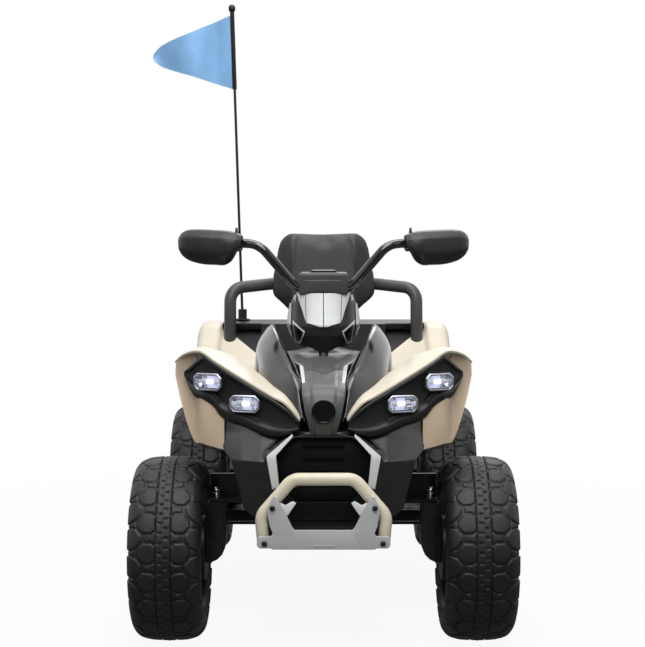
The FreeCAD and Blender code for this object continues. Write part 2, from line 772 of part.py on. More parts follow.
# Front body panels. The tables hold shares: x of the fender's half width, y of the nose's reach measured
# from the front axle, z of the crest's rise measured from the waist
WING_SHARES = [
    (0.149, [(-0.919, 0.383), (-0.889, 0.406), (-0.859, 0.428), (-0.830, 0.439)]),
    (0.224, [(-0.889, 0.517), (-0.815, 0.539), (-0.726, 0.561), (-0.637, 0.567)]),
    (0.429, [(-0.741, 0.683), (-0.222, 0.739), (0.593, 0.750), (1.378, 0.439)]),
    (0.616, [(-0.593, 0.839), (0.074, 0.928), (0.889, 0.861), (1.393, 0.350)]),
    (0.784, [(-0.444, 1.000), (0.222, 1.017), (0.926, 0.889), (1.407, 0.333)]),
    (0.933, [(-0.089, 0.950), (0.407, 0.961), (1.000, 0.844), (1.407, 0.317)]),
    (1.000, [(0.185, 0.850), (0.593, 0.839), (1.074, 0.739), (1.393, 0.306)]),
]
SKIRT_SHARES = [
    (0.642, [(-0.570, 0.844), (-0.681, 0.006)]),
    (0.784, [(-0.437, 0.989), (-0.615, 0.039)]),
    (0.851, [(-0.274, 0.967), (-0.504, 0.072)]),
    (0.933, [(-0.074, 0.939), (-0.207, 0.500)]),
    (0.985, [(0.133, 0.861), (0.059, 0.739)]),
]
BEZEL_SHARES = [
    (0.157, -0.978, 0.300, 0.361),
    (0.224, -0.956, 0.239, 0.483),
    (0.321, -0.889, 0.206, 0.567),
    (0.429, -0.807, 0.244, 0.656),
    (0.522, -0.733, 0.306, 0.733),
    (0.616, -0.659, 0.400, 0.811),
    (0.709, -0.578, 0.511, 0.894),
    (0.784, -0.511, 0.544, 0.967),
    (0.843, -0.370, 0.583, 0.939),
    (0.907, -0.185, 0.739, 0.806),
]
FAIRING_SHARES = [
    (0.000, [(-0.889, None), (-0.919, -0.461), (-1.022, 0.028), (-0.933, 0.294)]),
    (0.418, [(-0.844, None), (-0.874, -0.461), (-0.948, 0.028), (-0.874, 0.306)]),
    (0.440, [(-0.815, -0.594), (-0.844, -0.417), (-0.919, 0.028), (-0.844, 0.317)]),
    (0.522, [(-0.756, -0.250), (-0.785, -0.183), (-0.844, 0.028), (-0.770, 0.372)]),
    (0.642, [(-0.637, 0.039), (-0.652, 0.094), (-0.681, 0.161), (-0.637, 0.472)]),
]
HOOD_SHARES = [
    (-0.904, 0.228, 0.082),
    (-1.015, 0.417, 0.112),
    (-0.963, 0.572, 0.131),
    (-0.481, 0.717, 0.146),
    (0.148, 0.806, 0.164),
    (0.556, 0.844, 0.246),
    (1.037, 0.850, 0.299),
    (1.556, 0.850, 0.299),
    (1.985, 0.761, 0.231),
]
COWL_SHARES = [
    (-0.889, [(0.119, 0.361), (0.131, 0.406), (0.153, 0.383), (0.164, 0.317)]),
    (-0.593, [(0.146, 0.694), (0.187, 0.728), (0.246, 0.617), (0.261, 0.528)]),
    (-0.185, [(0.157, 0.761), (0.239, 0.878), (0.358, 0.728), (0.377, 0.628)]),
    (0.444, [(0.216, 0.844), (0.321, 1.089), (0.433, 0.894), (0.455, 0.683)]),
    (1.037, [(0.306, 0.861), (0.366, 1.172), (0.470, 0.972), (0.485, 0.672)]),
    (1.630, [(0.306, 0.861), (0.351, 1.111), (0.455, 0.928), (0.478, 0.628)]),
    (1.985, [(0.239, 0.772), (0.299, 0.878), (0.418, 0.783), (0.440, 0.528)]),
]
RECESS_SHARES = [(0.179, 0.217), (0.328, 0.028), (0.284, -0.250), (0.172, -0.406)]
TRIM_SHARES = [(0.187, 0.239), (0.343, 0.039), (0.299, -0.261), (0.183, -0.411)]
INSERT_SHARES = [(0.213, 0.222), (0.183, 0.281), (0.134, 0.059), (0.119, -0.578), (0.138, -0.593),
                 (0.168, -0.193)]
LAMP_SHARES = {"outer": (0.759, 0.700), "inner": (0.511, 0.500)}


def nose_x(share):
    """Distance out from the middle plane."""
    return s.fender_half_width * share


def nose_y(share):
    """Place along the bike, from the front axle."""
    return d.front_y + s.nose_reach * share


def nose_z(share):
    """Height over the ground, from the waist up."""
    return d.waist_z + s.crest_rise * share


def bezel_face(x):
    """The bezel's front, lower edge and upper edge at one place across."""
    rows = [(nose_x(a), nose_y(b), nose_z(c), nose_z(e)) for a, b, c, e in BEZEL_SHARES]
    for before, after in zip(rows, rows[1:]):
        if x <= after[0] or after is rows[-1]:
            part = (x - before[0]) / (after[0] - before[0])
            return [before[i] + (after[i] - before[i]) * part for i in (1, 2, 3)]


def bezel_block(grow):
    """The headlight bezel as a solid, larger all round by grow."""
    rows = [(nose_x(a), nose_y(b), nose_z(c), nose_z(e)) for a, b, c, e in BEZEL_SHARES]
    sections = []
    for here, (x, y, low, high) in enumerate(rows):
        spread = -grow if here == 0 else grow if here == len(rows) - 1 else 0
        back = y + s.bezel_depth + grow
        sections.append(across(x + spread, [(y - grow, low - grow), (y - grow, high + grow),
                                            (back, high + grow), (back, low - grow)]))
    return loft(sections)


def lamp_prism(place, depth, front, shrink):
    """An eight-sided prism at a lamp, facing forward and turned a little outward."""
    share_x, share_z = LAMP_SHARES[place]
    x, z = nose_x(share_x), nose_z(share_z)
    yaw = s.lamp_outer_yaw_angle if place == "outer" else s.lamp_inner_yaw_angle
    half_w, half_h = s.lamp_width / 2 - shrink, s.lamp_height / 2 - shrink
    corner = s.lamp_corner
    ring = [
        (-half_w + corner, -half_h), (half_w - corner, -half_h), (half_w, -half_h + corner),
        (half_w, half_h - corner), (half_w - corner, half_h), (-half_w + corner, half_h),
        (-half_w, half_h - corner), (-half_w, -half_h + corner),
    ]
    wire = Part.makePolygon([Vector(a, front, b) for a, b in ring + ring[:1]])
    solid = Part.Face(wire).extrude(Vector(0, depth, 0))
    solid.Placement = Placement(Vector(x, bezel_face(x)[0], z), Rotation(Vector(0, 0, 1), yaw))
    return solid


def cowl_fill(grow):
    """The space under one side cowl, larger by grow, down to the middle plane."""
    sections = []
    for here, (share_y, line) in enumerate(COWL_SHARES):
        points = [(nose_x(a), nose_z(b)) for a, b in line]
        outer = offset_line(points, -grow) if grow else points
        low = points[-1][1] - s.crest_rise / 4
        spread = -grow if here == 0 else grow if here == len(COWL_SHARES) - 1 else 0
        ring = [(0, outer[0][1])] + outer + [(outer[-1][0], low), (0, low)]
        sections.append(along(nose_y(share_y) + spread, ring))
    return loft(sections)


def cowl():
    """One side cowl as a wall that follows its stations."""
    sections = []
    for share_y, line in COWL_SHARES:
        points = [(nose_x(a), nose_z(b)) for a, b in line]
        sections.append(along(nose_y(share_y), strip(points, s.panel_wall)))
    return loft(sections)


def hood(grow, wall):
    """The centre hood: a crowned strip carried along its side profile."""
    profile = [(nose_y(a), nose_z(b)) for a, b, width in HOOD_SHARES]
    upper = offset_line(profile, -grow) if grow else profile
    crown = offset_line(profile, -grow - s.panel_wall * 0.75)
    lower = offset_line(profile, wall + grow)
    sections = []
    for here, (a, b, share) in enumerate(HOOD_SHARES):
        half = nose_x(share) - s.panel_gap + grow
        (uy, uz), (cy, cz), (ly, lz) = upper[here], crown[here], lower[here]
        sections.append([Vector(-half, uy, uz), Vector(0, cy, cz), Vector(half, uy, uz),
                         Vector(half, ly, lz), Vector(-half, ly, lz)])
    return loft(sections)


def front_fender(cutters):
    """Wing and skirt of one front fender in one moulding, opened for the lights."""
    wing = []
    for share, line in WING_SHARES:
        points = [(nose_y(a), nose_z(b)) for a, b in line]
        wing.append(across(nose_x(share), strip(points, s.panel_wall)))
    skirt = []
    for share, line in SKIRT_SHARES:
        (top_y, top_z), (low_y, low_z) = [(nose_y(a), nose_z(b)) for a, b in line]
        wall = s.panel_wall
        skirt.append(across(nose_x(share), [(top_y, top_z), (low_y, low_z), (low_y + wall, low_z),
                                            (top_y + wall, top_z)]))
    return largest(loft(wing).fuse(loft(skirt)).cut(cutters))


def fairing_block():
    """The black nose under the lights, with the jaw that carries the bumper."""
    sections = []
    rows = [row for row in reversed(FAIRING_SHARES)] + FAIRING_SHARES[1:]
    for here, (share, line) in enumerate(rows):
        x = nose_x(share) * (-1 if here < len(FAIRING_SHARES) else 1)
        points = []
        for a, b in line:
            points.append((nose_y(a), d.jaw_top - s.panel_wall if b is None else nose_z(b)))
        points += [(d.fairing_back, points[-1][1]), (d.fairing_back, points[0][1])]
        sections.append(across(x, points))
    jaw = block(Vector(-s.jaw_half_width, d.jaw_y, d.jaw_base),
                Vector(s.jaw_half_width, d.fairing_back, d.jaw_top))
    return loft(sections).fuse(jaw).removeSplitter()


def face_prism(shares, y_low, y_high):
    """An outline given on the nose's front view, carried along the bike."""
    points = [Vector(nose_x(a), y_low, nose_z(b)) for a, b in shares]
    return Part.Face(Part.makePolygon(points + points[:1])).extrude(Vector(0, y_high - y_low, 0))


def shifted(shape, move):
    """A copy moved by a vector."""
    copy = shape.copy()
    copy.translate(move)
    return copy


def front_body():
    """All the panels ahead of the seat, each cut clear of the ones it meets."""
    gap = s.panel_gap
    bezel_grown = bezel_block(gap)
    cowl_grown = cowl_fill(gap)
    hood_grown = hood(gap, s.crest_rise / 4)
    hood_well = rod(d.column_foot, d.bar_centre, s.column_diameter * 2)
    feature("hood", largest(hood(0, s.panel_wall).cut(hood_well)))
    fender = front_fender([bezel_grown, cowl_grown, hood_grown])
    side_cowl = largest(cowl().cut([hood_grown, bezel_grown]))
    lamps = {}
    for place in LAMP_SHARES:
        front = -s.bezel_proud
        depth = s.lamp_depth
        case = lamp_prism(place, depth, front, 0)
        room = lamp_prism(place, depth - s.lens_thickness / 2, front - s.lens_thickness / 2, s.lens_thickness)
        lens = lamp_prism(place, s.lens_thickness, front, s.lens_thickness + s.seat_gap)
        hole = lamp_prism(place, 3 * s.bezel_depth, -s.bezel_depth, -s.seat_gap)
        lamps[place] = (case.cut(room), lens, hole)
    bezel = largest(bezel_block(0).cut([hole for case, lens, hole in lamps.values()] + [hood_grown]))
    fairing = fairing_block()
    recess_shares = RECESS_SHARES + [(-a, b) for a, b in reversed(RECESS_SHARES)]
    nose_front = nose_y(FAIRING_SHARES[0][1][2][0])
    recess_floor = nose_front + s.recess_depth
    recess = face_prism(recess_shares, d.jaw_y, recess_floor)
    room_low = Vector(-s.jaw_half_width + s.fairing_wall, recess_floor + s.fairing_wall,
                      d.jaw_base + s.fairing_wall)
    room_high = Vector(s.jaw_half_width - s.fairing_wall, d.fairing_back + s.cut_overrun, nose_z(0.1))
    cutters = [bezel_grown, mirrored(bezel_grown), cowl_grown, mirrored(cowl_grown), hood_grown,
               block(room_low, room_high)]
    solid = largest(fairing.cut(cutters))
    backs = [lamp_prism(place, 3 * s.bezel_depth, -s.bezel_depth, -s.panel_gap) for place in LAMP_SHARES]
    solid = largest(solid.cut(backs + [mirrored(item) for item in backs]))
    fender = largest(fender.cut(backs))
    plain = solid
    solid = largest(solid.cut(recess))
    feature("front_fairing", solid)
    front_grille(recess_floor)
    trims = []
    pieces_of_trim = face_prism(trim_outline(), d.jaw_y, recess_floor)
    for item in (pieces_of_trim, mirrored(pieces_of_trim)):
        lifted = shifted(plain, Vector(0, -s.trim_proud - s.seat_gap, 0))
        trims.append(largest(item.common(lifted).cut([shifted(plain, Vector(0, -s.seat_gap, 0)), bezel_grown,
                                                      mirrored(bezel_grown), hood_grown])))
    feature("fairing_trims", Part.makeCompound(trims))
    for side, turn in (("left", lambda shape: shape), ("right", mirrored)):
        feature(f"front_fender_{side}", turn(fender))
        feature(f"side_cowl_{side}", turn(side_cowl))
        feature(f"headlight_bezel_{side}", turn(bezel))
    cases = [case for case, lens, hole in lamps.values()]
    lenses = [lens for case, lens, hole in lamps.values()]
    feature("lamp_reflectors", Part.makeCompound(cases + [mirrored(case) for case in cases]))
    feature("lamp_lenses", Part.makeCompound(lenses + [mirrored(lens) for lens in lenses]))
    deck = cowl_fill(0).fuse(hood(0, s.crest_rise / 4))
    points = [Vector(nose_x(a), nose_y(b), d.waist_z) for a, b in INSERT_SHARES]
    prism = Part.Face(Part.makePolygon(points + points[:1])).extrude(Vector(0, 0, 2 * s.crest_rise))
    insert = prism.common(shifted(deck, Vector(0, 0, s.trim_proud + s.panel_gap)))
    lifted = shifted(deck, Vector(0, 0, s.panel_gap))
    insert = largest(insert.cut([lifted, cowl_fill(s.seat_gap), hood_grown]))
    feature("hood_inserts", Part.makeCompound([insert, mirrored(insert)]))


def trim_outline():
    """The bent outline of one silver trim beside the grille."""
    line = [(nose_x(a), nose_z(b)) for a, b in TRIM_SHARES]
    ring = strip(line, -s.trim_width)
    return [(x / s.fender_half_width, (z - d.waist_z) / s.crest_rise) for x, z in ring]


def front_grille(recess_floor):
    """The slotted panel on the floor of the nose recess."""
    ring = RECESS_SHARES + [(-a, b) for a, b in reversed(RECESS_SHARES)]
    inset = 1 - 2 * s.panel_gap / nose_x(RECESS_SHARES[0][0])
    middle = sum(b for a, b in ring) / len(ring)
    ring = [(a * inset, middle + (b - middle) * inset) for a, b in ring]
    front = recess_floor - s.seat_gap - s.grille_wall
    plate = face_prism(ring, front, recess_floor - s.seat_gap)
    slots = []
    slot_share = 0.045
    for row in (-0.28, -0.16, -0.04, 0.08):
        half = 0.13
        slots.append(face_prism([(-half, row), (half, row), (half, row + slot_share), (-half, row + slot_share)],
                                front - s.cut_overrun, recess_floor + s.cut_overrun))
    feature("grille", largest(plate.cut(slots)))


front_body()


# Chassis tub, seat base and tail
FOOT_FRONT = f"({FRONT_Y} + Sizes.tyre_diameter / 2 + Sizes.footwell_front_gap)"
FOOT_REAR = f"({REAR_Y} - Sizes.tyre_diameter / 2 - Sizes.footwell_rear_gap)"
LIP_TOP = f"({FLOOR_Z} + Sizes.footwell_lip)"
TUB_FRONT = f"({FRONT_Y} + Sizes.beam_depth / 2 + Sizes.seat_gap)"
TUB_STEP = f"({TIE_Y} + 2 * Sizes.tie_eye_diameter)"
TUB_REAR = f"({REAR_Y} - Sizes.axle_beam_square / 2 - Sizes.seat_gap)"
NOSE_BASE = f"({AXLE_Z} + Sizes.upright_height)"
SEAT_FRONT = f"({FRONT_Y} + Sizes.nose_reach * 2)"
TAIL_FRONT = f"({FOOT_REAR} + Sizes.tub_wall)"
TAIL_STEP = f"({REAR_Y} - Sizes.tail_overhang * 0.39)"
TAIL_END = f"({REAR_Y} + Sizes.tail_overhang)"
BASE_Z = f"({TUB_TOP} + Sizes.seat_gap)"


def padded_outline(name, points, length):
    """A body made by carrying a side outline evenly across the middle plane."""
    body = doc.addObject("PartDesign::Body", name)
    sketch = outline(body, f"{name}_side", "YZ_Plane", points)
    pad = body.newObject("PartDesign::Pad", f"{name}_pad")
    pad.Profile = sketch
    pad.SideType = "Symmetric"
    pad.setExpression("Length", length)
    sketch.Visibility = False
    return body


def centred_box(name, half, y_low, y_high, z_low, z_high):
    """A block across the middle plane, bound to the sheet."""
    return box(name, (f"2 * ({half})", f"({y_high}) - ({y_low})", f"({z_high}) - ({z_low})"),
               (flipped(half), y_low, z_low))


def chassis_tub():
    """Footwells, the hollow centre tunnel and the nose rails in one moulding, with lugs for the pedal."""
    wall = "Sizes.tub_wall"
    lean = "Sizes.footwell_lean"
    wells = padded_outline("footwells", [
        (f"{FOOT_FRONT} - {lean} - {wall}", LIP_TOP),
        (f"{FOOT_FRONT} - {lean}", LIP_TOP),
        (FOOT_FRONT, FLOOR_Z),
        (FOOT_REAR, FLOOR_Z),
        (f"{FOOT_REAR} + {lean}", LIP_TOP),
        (f"{FOOT_REAR} + {lean} + {wall}", LIP_TOP),
        (f"{FOOT_REAR} + {wall}", AXLE_Z),
        (f"{FOOT_FRONT} - {wall}", AXLE_Z),
    ], "Sizes.footwell_width")
    tunnel = padded_outline("tunnel", [
        (TUB_STEP, TUB_BASE),
        (TUB_REAR, TUB_BASE),
        (TUB_REAR, TUB_TOP),
        (TUB_FRONT, TUB_TOP),
        (TUB_FRONT, NOSE_BASE),
        (TUB_STEP, NOSE_BASE),
    ], "Sizes.tunnel_width")
    room = centred_box("tunnel_room", f"Sizes.tunnel_width / 2 - {wall}", f"{TUB_STEP} + {wall}",
                       f"{TUB_REAR} - {wall}", f"{TUB_BASE} + {wall}", f"{TUB_TOP} + Sizes.cut_overrun")
    slot = centred_box("column_slot", "Sizes.column_slot / 2", f"{TUB_FRONT} - Sizes.cut_overrun",
                       f"{TUB_STEP} + 2 * {wall}", f"{NOSE_BASE} - Sizes.cut_overrun",
                       f"{TUB_TOP} + Sizes.cut_overrun")
    lugs = []
    for name, edge in (("in", f"Sizes.pedal_width / 2 + Sizes.seat_gap"),
                       ("out", f"-Sizes.pedal_width / 2 - Sizes.seat_gap - Sizes.pedal_lug")):
        lugs.append(box(f"pedal_lug_{name}", ("Sizes.pedal_lug", "2 * Sizes.pedal_pin_diameter",
                                              "2.2 * Sizes.pedal_pin_diameter + Sizes.floor_thickness / 2"),
                        (f"{PEDAL_X} + {edge}", f"{PEDAL_Y} - Sizes.pedal_pin_diameter",
                         f"{FLOOR_Z} - Sizes.floor_thickness / 2")))
    holes = cylinder("pedal_lug_bore", "Sizes.pedal_pin_diameter + 2 * Sizes.running_gap",
                     "Sizes.pedal_width + 2 * Sizes.pedal_lug + 2 * Sizes.cut_overrun",
                     (f"{PEDAL_X} - Sizes.pedal_width / 2 - Sizes.pedal_lug - Sizes.cut_overrun",
                      PEDAL_Y, PEDAL_Z), "x")
    shell = fused("tub_shell", [wells, tunnel] + lugs)
    register("chassis_tub", removed("chassis_tub", shell, [room, slot, holes]))


PEDAL_X = "(-Sizes.footwell_width / 2 + Sizes.pedal_width * 1.35)"
PEDAL_Y = f"({FOOT_FRONT} + Sizes.pedal_length * 0.95)"
PEDAL_Z = f"({FLOOR_Z} + Sizes.pedal_pin_diameter * 1.2)"


def accelerator_pedal():
    """A foot plate on a cross pin at its heel."""
    x, y, z = value_of(PEDAL_X), value_of(PEDAL_Y), value_of(PEDAL_Z)
    half = s.pedal_width / 2
    reach = half + s.seat_gap + s.pedal_lug
    pin = rod(Vector(x - reach, y, z), Vector(x + reach, y, z), s.pedal_pin_diameter)
    plate = Part.makeBox(s.pedal_width, s.pedal_length, s.pedal_thickness,
                         Vector(-half, -s.pedal_length, -s.pedal_thickness / 2))
    plate.Placement = Placement(Vector(x, y, z), Rotation(Vector(1, 0, 0), -s.pedal_angle))
    feature("accelerator_pedal", largest(pin.fuse(plate).removeSplitter()))


def rear_body():
    """Seat base and tail in one hollow moulding, open below."""
    wall = "Sizes.tub_wall"
    base = padded_outline("seat_base", [
        (SEAT_FRONT, BASE_Z),
        (f"{TAIL_FRONT} + {wall}", BASE_Z),
        (f"{TAIL_FRONT} + {wall}", SEAT_Z),
        (SEAT_FRONT, SEAT_Z),
    ], "Sizes.tunnel_width")
    tail = padded_outline("tail", [
        (TAIL_FRONT, BASE_Z),
        (f"{TAIL_END} - Sizes.tail_overhang * 0.3", BASE_Z),
        (f"{TAIL_END} - Sizes.tail_overhang * 0.06", f"{BASE_Z} + Sizes.tail_rise * 0.15"),
        (TAIL_END, f"{SEAT_Z} + Sizes.tail_rise * 0.35"),
        (f"{TAIL_END} - Sizes.tail_overhang * 0.48", TAIL_Z),
        (f"{TAIL_STEP} + {wall}", TAIL_Z),
        (TAIL_STEP, SEAT_Z),
        (TAIL_FRONT, SEAT_Z),
    ], "Sizes.tail_width")
    below = f"{BASE_Z} - Sizes.cut_overrun"
    rooms = [
        centred_box("seat_base_room", f"Sizes.tunnel_width / 2 - {wall}", f"{SEAT_FRONT} + {wall}",
                    f"{TAIL_STEP} - {wall}", below, f"{SEAT_Z} - {wall}"),
        padded_outline("tail_room", [
            (f"{TAIL_FRONT} + {wall}", below),
            (f"{TAIL_END} - Sizes.tail_overhang * 0.3 - 2 * {wall}", below),
            (f"{TAIL_END} - Sizes.tail_overhang * 0.06 - 2 * {wall}", f"{BASE_Z} + Sizes.tail_rise * 0.15"),
            (f"{TAIL_END} - 1.5 * {wall}", f"{SEAT_Z} + Sizes.tail_rise * 0.35"),
            (f"{TAIL_END} - Sizes.tail_overhang * 0.48 - {wall}", f"{TAIL_Z} - {wall}"),
            (f"{TAIL_STEP} + 2 * {wall}", f"{TAIL_Z} - {wall}"),
            (f"{TAIL_STEP} + 2 * {wall}", f"{SEAT_Z} - {wall}"),
            (f"{TAIL_FRONT} + {wall}", f"{SEAT_Z} - {wall}"),
        ], f"Sizes.tail_width - 2 * {wall}"),
        cylinder("charge_hole", "Sizes.charge_body + 2 * Sizes.seat_gap", "Sizes.tunnel_width",
                 ("Sizes.tunnel_width / 4", CHARGE_Y, CHARGE_Z), "x"),
    ]
    wing = centred_box("tail_wing", "Sizes.tail_wing_half_width", f"{TAIL_STEP} + 4 * {wall}",
                       f"{TAIL_END} - Sizes.tail_overhang * 0.45",
                       f"{TAIL_Z} - Sizes.tail_wing_thickness", TAIL_Z)
    spigot_hole = cylinder("flag_hole", "Sizes.socket_diameter * 0.7 + 2 * Sizes.seat_gap", "Sizes.tail_rise",
                           (FLAG_X, FLAG_Y, f"{TAIL_Z} - Sizes.tail_rise / 2"))
    blank = fused("rear_body_blank", [base, tail, wing])
    register("rear_body", removed("rear_body", blank, rooms + [spigot_hole]))


FLAG_X = "(-Sizes.tail_width / 2 - Sizes.flag_pole_out)"
FLAG_Y = f"({REAR_Y} + Sizes.tail_overhang * 0.32)"
CHARGE_Y = f"({SEAT_FRONT} + ({TAIL_FRONT} - {SEAT_FRONT}) / 2)"
CHARGE_Z = f"({BASE_Z} + Sizes.seat_base_height / 2)"


def charge_socket():
    """A flanged round socket in the side of the seat base."""
    face = "(Sizes.tunnel_width / 2 + Sizes.seat_gap)"
    flange = cylinder("charge_flange", "Sizes.charge_flange", "Sizes.charge_flange_height",
                      (face, CHARGE_Y, CHARGE_Z), "x")
    body = cylinder("charge_body", "Sizes.charge_body", "Sizes.charge_depth + Sizes.charge_flange_height / 2",
                    (f"({face} - Sizes.charge_depth)", CHARGE_Y, CHARGE_Z), "x")
    bore = cylinder("charge_bore", "Sizes.charge_bore", "Sizes.charge_depth",
                    (f"({face} + Sizes.charge_flange_height - Sizes.charge_depth * 0.8)",
                     CHARGE_Y, CHARGE_Z), "x")
    register("charge_socket", removed("charge_socket", fused("charge_socket_blank", [flange, body]), [bore]))


def battery():
    """The sealed battery on the tunnel floor, with two raised terminals."""
    low_z = f"({TUB_BASE} + Sizes.tub_wall + Sizes.seat_gap)"
    middle = f"({FOOT_REAR} - Sizes.battery_length / 2)"
    case = box("battery_case", ("Sizes.battery_width", "Sizes.battery_length", "Sizes.battery_height"),
               ("-Sizes.battery_width / 2", f"{middle} - Sizes.battery_length / 2", low_z))
    posts = [
        cylinder(f"battery_post_{side}", "Sizes.battery_width * 0.12",
                 "Sizes.battery_height * 0.12 + Sizes.cut_overrun",
                 (x, middle, f"{low_z} + Sizes.battery_height - Sizes.cut_overrun"))
        for side, x in (("left", "Sizes.battery_width * 0.3"), ("right", "-Sizes.battery_width * 0.3"))
    ]
    register("battery", fused("battery", [case] + posts))


chassis_tub()
accelerator_pedal()
rear_body()
charge_socket()
battery()


# Bumper. Its outlines are shares: x of the plate's half width, z of the hoop's height from the jaw's foot
HOOP_SHARES = [(0.895, 0.05), (0.93, 0.45), (0.46, 0.975)]
PLATE_SHARES = [(0.92, -0.025), (1.0, 0.05), (0.955, 0.17), (0.823, 0.475), (0.832, 0.627), (0.743, 0.754),
                (0.637, 0.644), (0.487, 0.271)]
BOLT_SHARES = [(0.757, 0.585), (0.876, 0.075)]


def bumper_point(share, y):
    """A point of the bumper's front view at one place along the bike."""
    return Vector(s.plate_half_width * share[0], y, d.jaw_base + s.bumper_height * share[1])


def bumper():
    """The bent hoop in front of the jaw, the plate in front of the hoop and the four bolts."""
    hoop_y = d.jaw_y - s.seat_gap - s.bumper_tube / 2
    plate_back = hoop_y - s.bumper_tube / 2 - s.seat_gap
    plate_front = plate_back - s.plate_thickness
    right = [bumper_point(share, hoop_y) for share in HOOP_SHARES]
    left = [Vector(-p.x, p.y, p.z) for p in right]
    feature("bumper_hoop", tube(right + left[::-1], s.bumper_bend_radius, s.bumper_tube,
                                s.bumper_tube - 2 * s.bar_wall))
    half = [bumper_point(share, plate_front) for share in PLATE_SHARES]
    ring = half + [Vector(-p.x, p.y, p.z) for p in reversed(half)]
    plate = Part.Face(Part.makePolygon(ring + ring[:1])).extrude(Vector(0, s.plate_thickness, 0))
    places = [bumper_point(share, plate_front) for share in BOLT_SHARES]
    places += [Vector(-p.x, p.y, p.z) for p in places]
    back = Vector(0, 1, 0)
    holes = [Part.makeCylinder(s.bolt_diameter / 2 + s.seat_gap, 2 * s.plate_thickness,
                               p - back * s.plate_thickness / 2, back) for p in places]
    feature("bumper_plate", largest(plate.cut(holes)))
    bolts = []
    for p in places:
        head_start = p - back * (s.bolt_head_height + s.seat_gap)
        head = Part.makeCylinder(s.bolt_head / 2, s.bolt_head_height, head_start, back)
        shank_length = s.plate_thickness + s.seat_gap
        shank = Part.makeCylinder(s.bolt_diameter / 2, shank_length, p - back * s.seat_gap, back)
        bolts.append(head.fuse(shank).removeSplitter())
    feature("bumper_bolts", Part.makeCompound(bolts))


def emblem_disc():
    """A blank round badge plate on the tip of the hood."""
    z = nose_z((HOOD_SHARES[1][1] + HOOD_SHARES[2][1]) / 2) - s.emblem_thickness
    front = nose_y(HOOD_SHARES[1][0]) - s.panel_wall * 0.75 - s.seat_gap
    feature("emblem_disc", Part.makeCylinder(s.emblem_diameter / 2, s.emblem_thickness,
                                             Vector(0, front - s.emblem_thickness, z), Vector(0, 1, 0)))


# Handlebar group. The nacelle's rows hold shares: z of its height down from the dash, half width, front, back
NACELLE_SHARES = [
    (1.00, 0.76, 0.56, 0.16),
    (0.78, 0.96, 0.74, 0.18),
    (0.56, 1.00, 0.76, 0.18),
    (0.28, 0.91, 0.48, 0.18),
    (0.00, 0.70, 0.22, 0.18),
]
GUARD_SHARES = [(0.16, 0.32), (-0.48, 0.35), (-0.94, 0.12), (-0.98, -0.38), (-0.60, -0.65), (-0.20, -0.65)]
GUARD_SCALE_SHARES = [(0.665, 0.86), (0.70, 1.0), (0.82, 1.04), (0.94, 0.95), (1.0, 0.82)]


def bar_points():
    """The handlebar's corners on the rider's left, from the middle out."""
    run = d.bar_centre + Vector(s.bar_centre_run, 0, 0)
    knee = d.bar_centre + Vector(s.bar_knee_out, s.bar_knee_back, s.bar_knee_rise)
    end = d.bar_centre + Vector(s.bar_end_out, s.bar_end_back, s.bar_end_rise)
    return run, knee, end


def handlebar():
    """The bent tube, both grips, the switch housings and the horn button."""
    run, knee, end = bar_points()
    corners = [end, knee, run]
    corners += [Vector(-p.x, p.y, p.z) for p in reversed(corners)]
    feature("handlebar", tube(corners, s.bar_bend_radius, s.bar_diameter, s.bar_diameter - 2 * s.bar_wall))
    way = (end - knee).normalize()
    grip_end = end - way * s.seat_gap
    grip_start = grip_end - way * s.grip_length
    bore = s.bar_diameter + 2 * s.seat_gap
    grip = rod(grip_start, grip_end, s.grip_diameter).cut(rod(knee, end + way * s.grip_length, bore))
    feature("grips", Part.makeCompound([grip, mirrored(grip)]))
    switch_end = grip_start - way * s.seat_gap
    switch_start = switch_end - way * s.switch_width
    middle = (switch_end + switch_start) / 2
    ring = rod(switch_start, switch_end, s.switch_diameter)
    half = s.switch_width * 0.35
    top = middle.z + s.switch_diameter / 2 + s.switch_ear
    ear_foot = level(middle.z, [(middle.x - half, middle.y - half), (middle.x + half, middle.y - half),
                                (middle.x + half, middle.y + half), (middle.x - half, middle.y + half)])
    ear_tip = level(top, [(p.x + (middle.x - p.x) * 0.7, p.y + (middle.y - p.y) * 0.7) for p in ear_foot])
    bar_hole = rod(knee, end, bore)
    plain = ring.fuse(loft([ear_foot, ear_tip])).cut(bar_hole)
    boss_foot = middle - way * (way.y * s.switch_diameter / 2)
    boss_end = boss_foot + Vector(0, s.switch_diameter / 2 + s.horn_boss, 0)
    boss = rod(boss_foot, boss_end, s.switch_width * 0.7)
    stem = s.button_stem + s.button_travel + s.button_travel
    along_stem = Vector(0, stem, 0)
    pocket = rod(boss_end - along_stem, boss_end + along_stem, s.button_stem + 2 * s.running_gap)
    horn_side = largest(ring.fuse([loft([ear_foot, ear_tip]), boss]).cut([bar_hole, pocket]))
    feature("switch_housings", Part.makeCompound([horn_side, mirrored(largest(plain))]))
    feature("horn_button", push_button(boss_end, Vector(0, 1, 0)))


def push_button(face, way):
    """A round button on a stem, standing clear of its face by a little more than its travel."""
    lift = s.button_travel + s.panel_gap
    head = rod(face + way * lift, face + way * (lift + s.button_height), s.button_diameter)
    stem = rod(face - way * s.button_stem, face + way * (lift + s.button_height / 2), s.button_stem)
    return head.fuse(stem).removeSplitter()


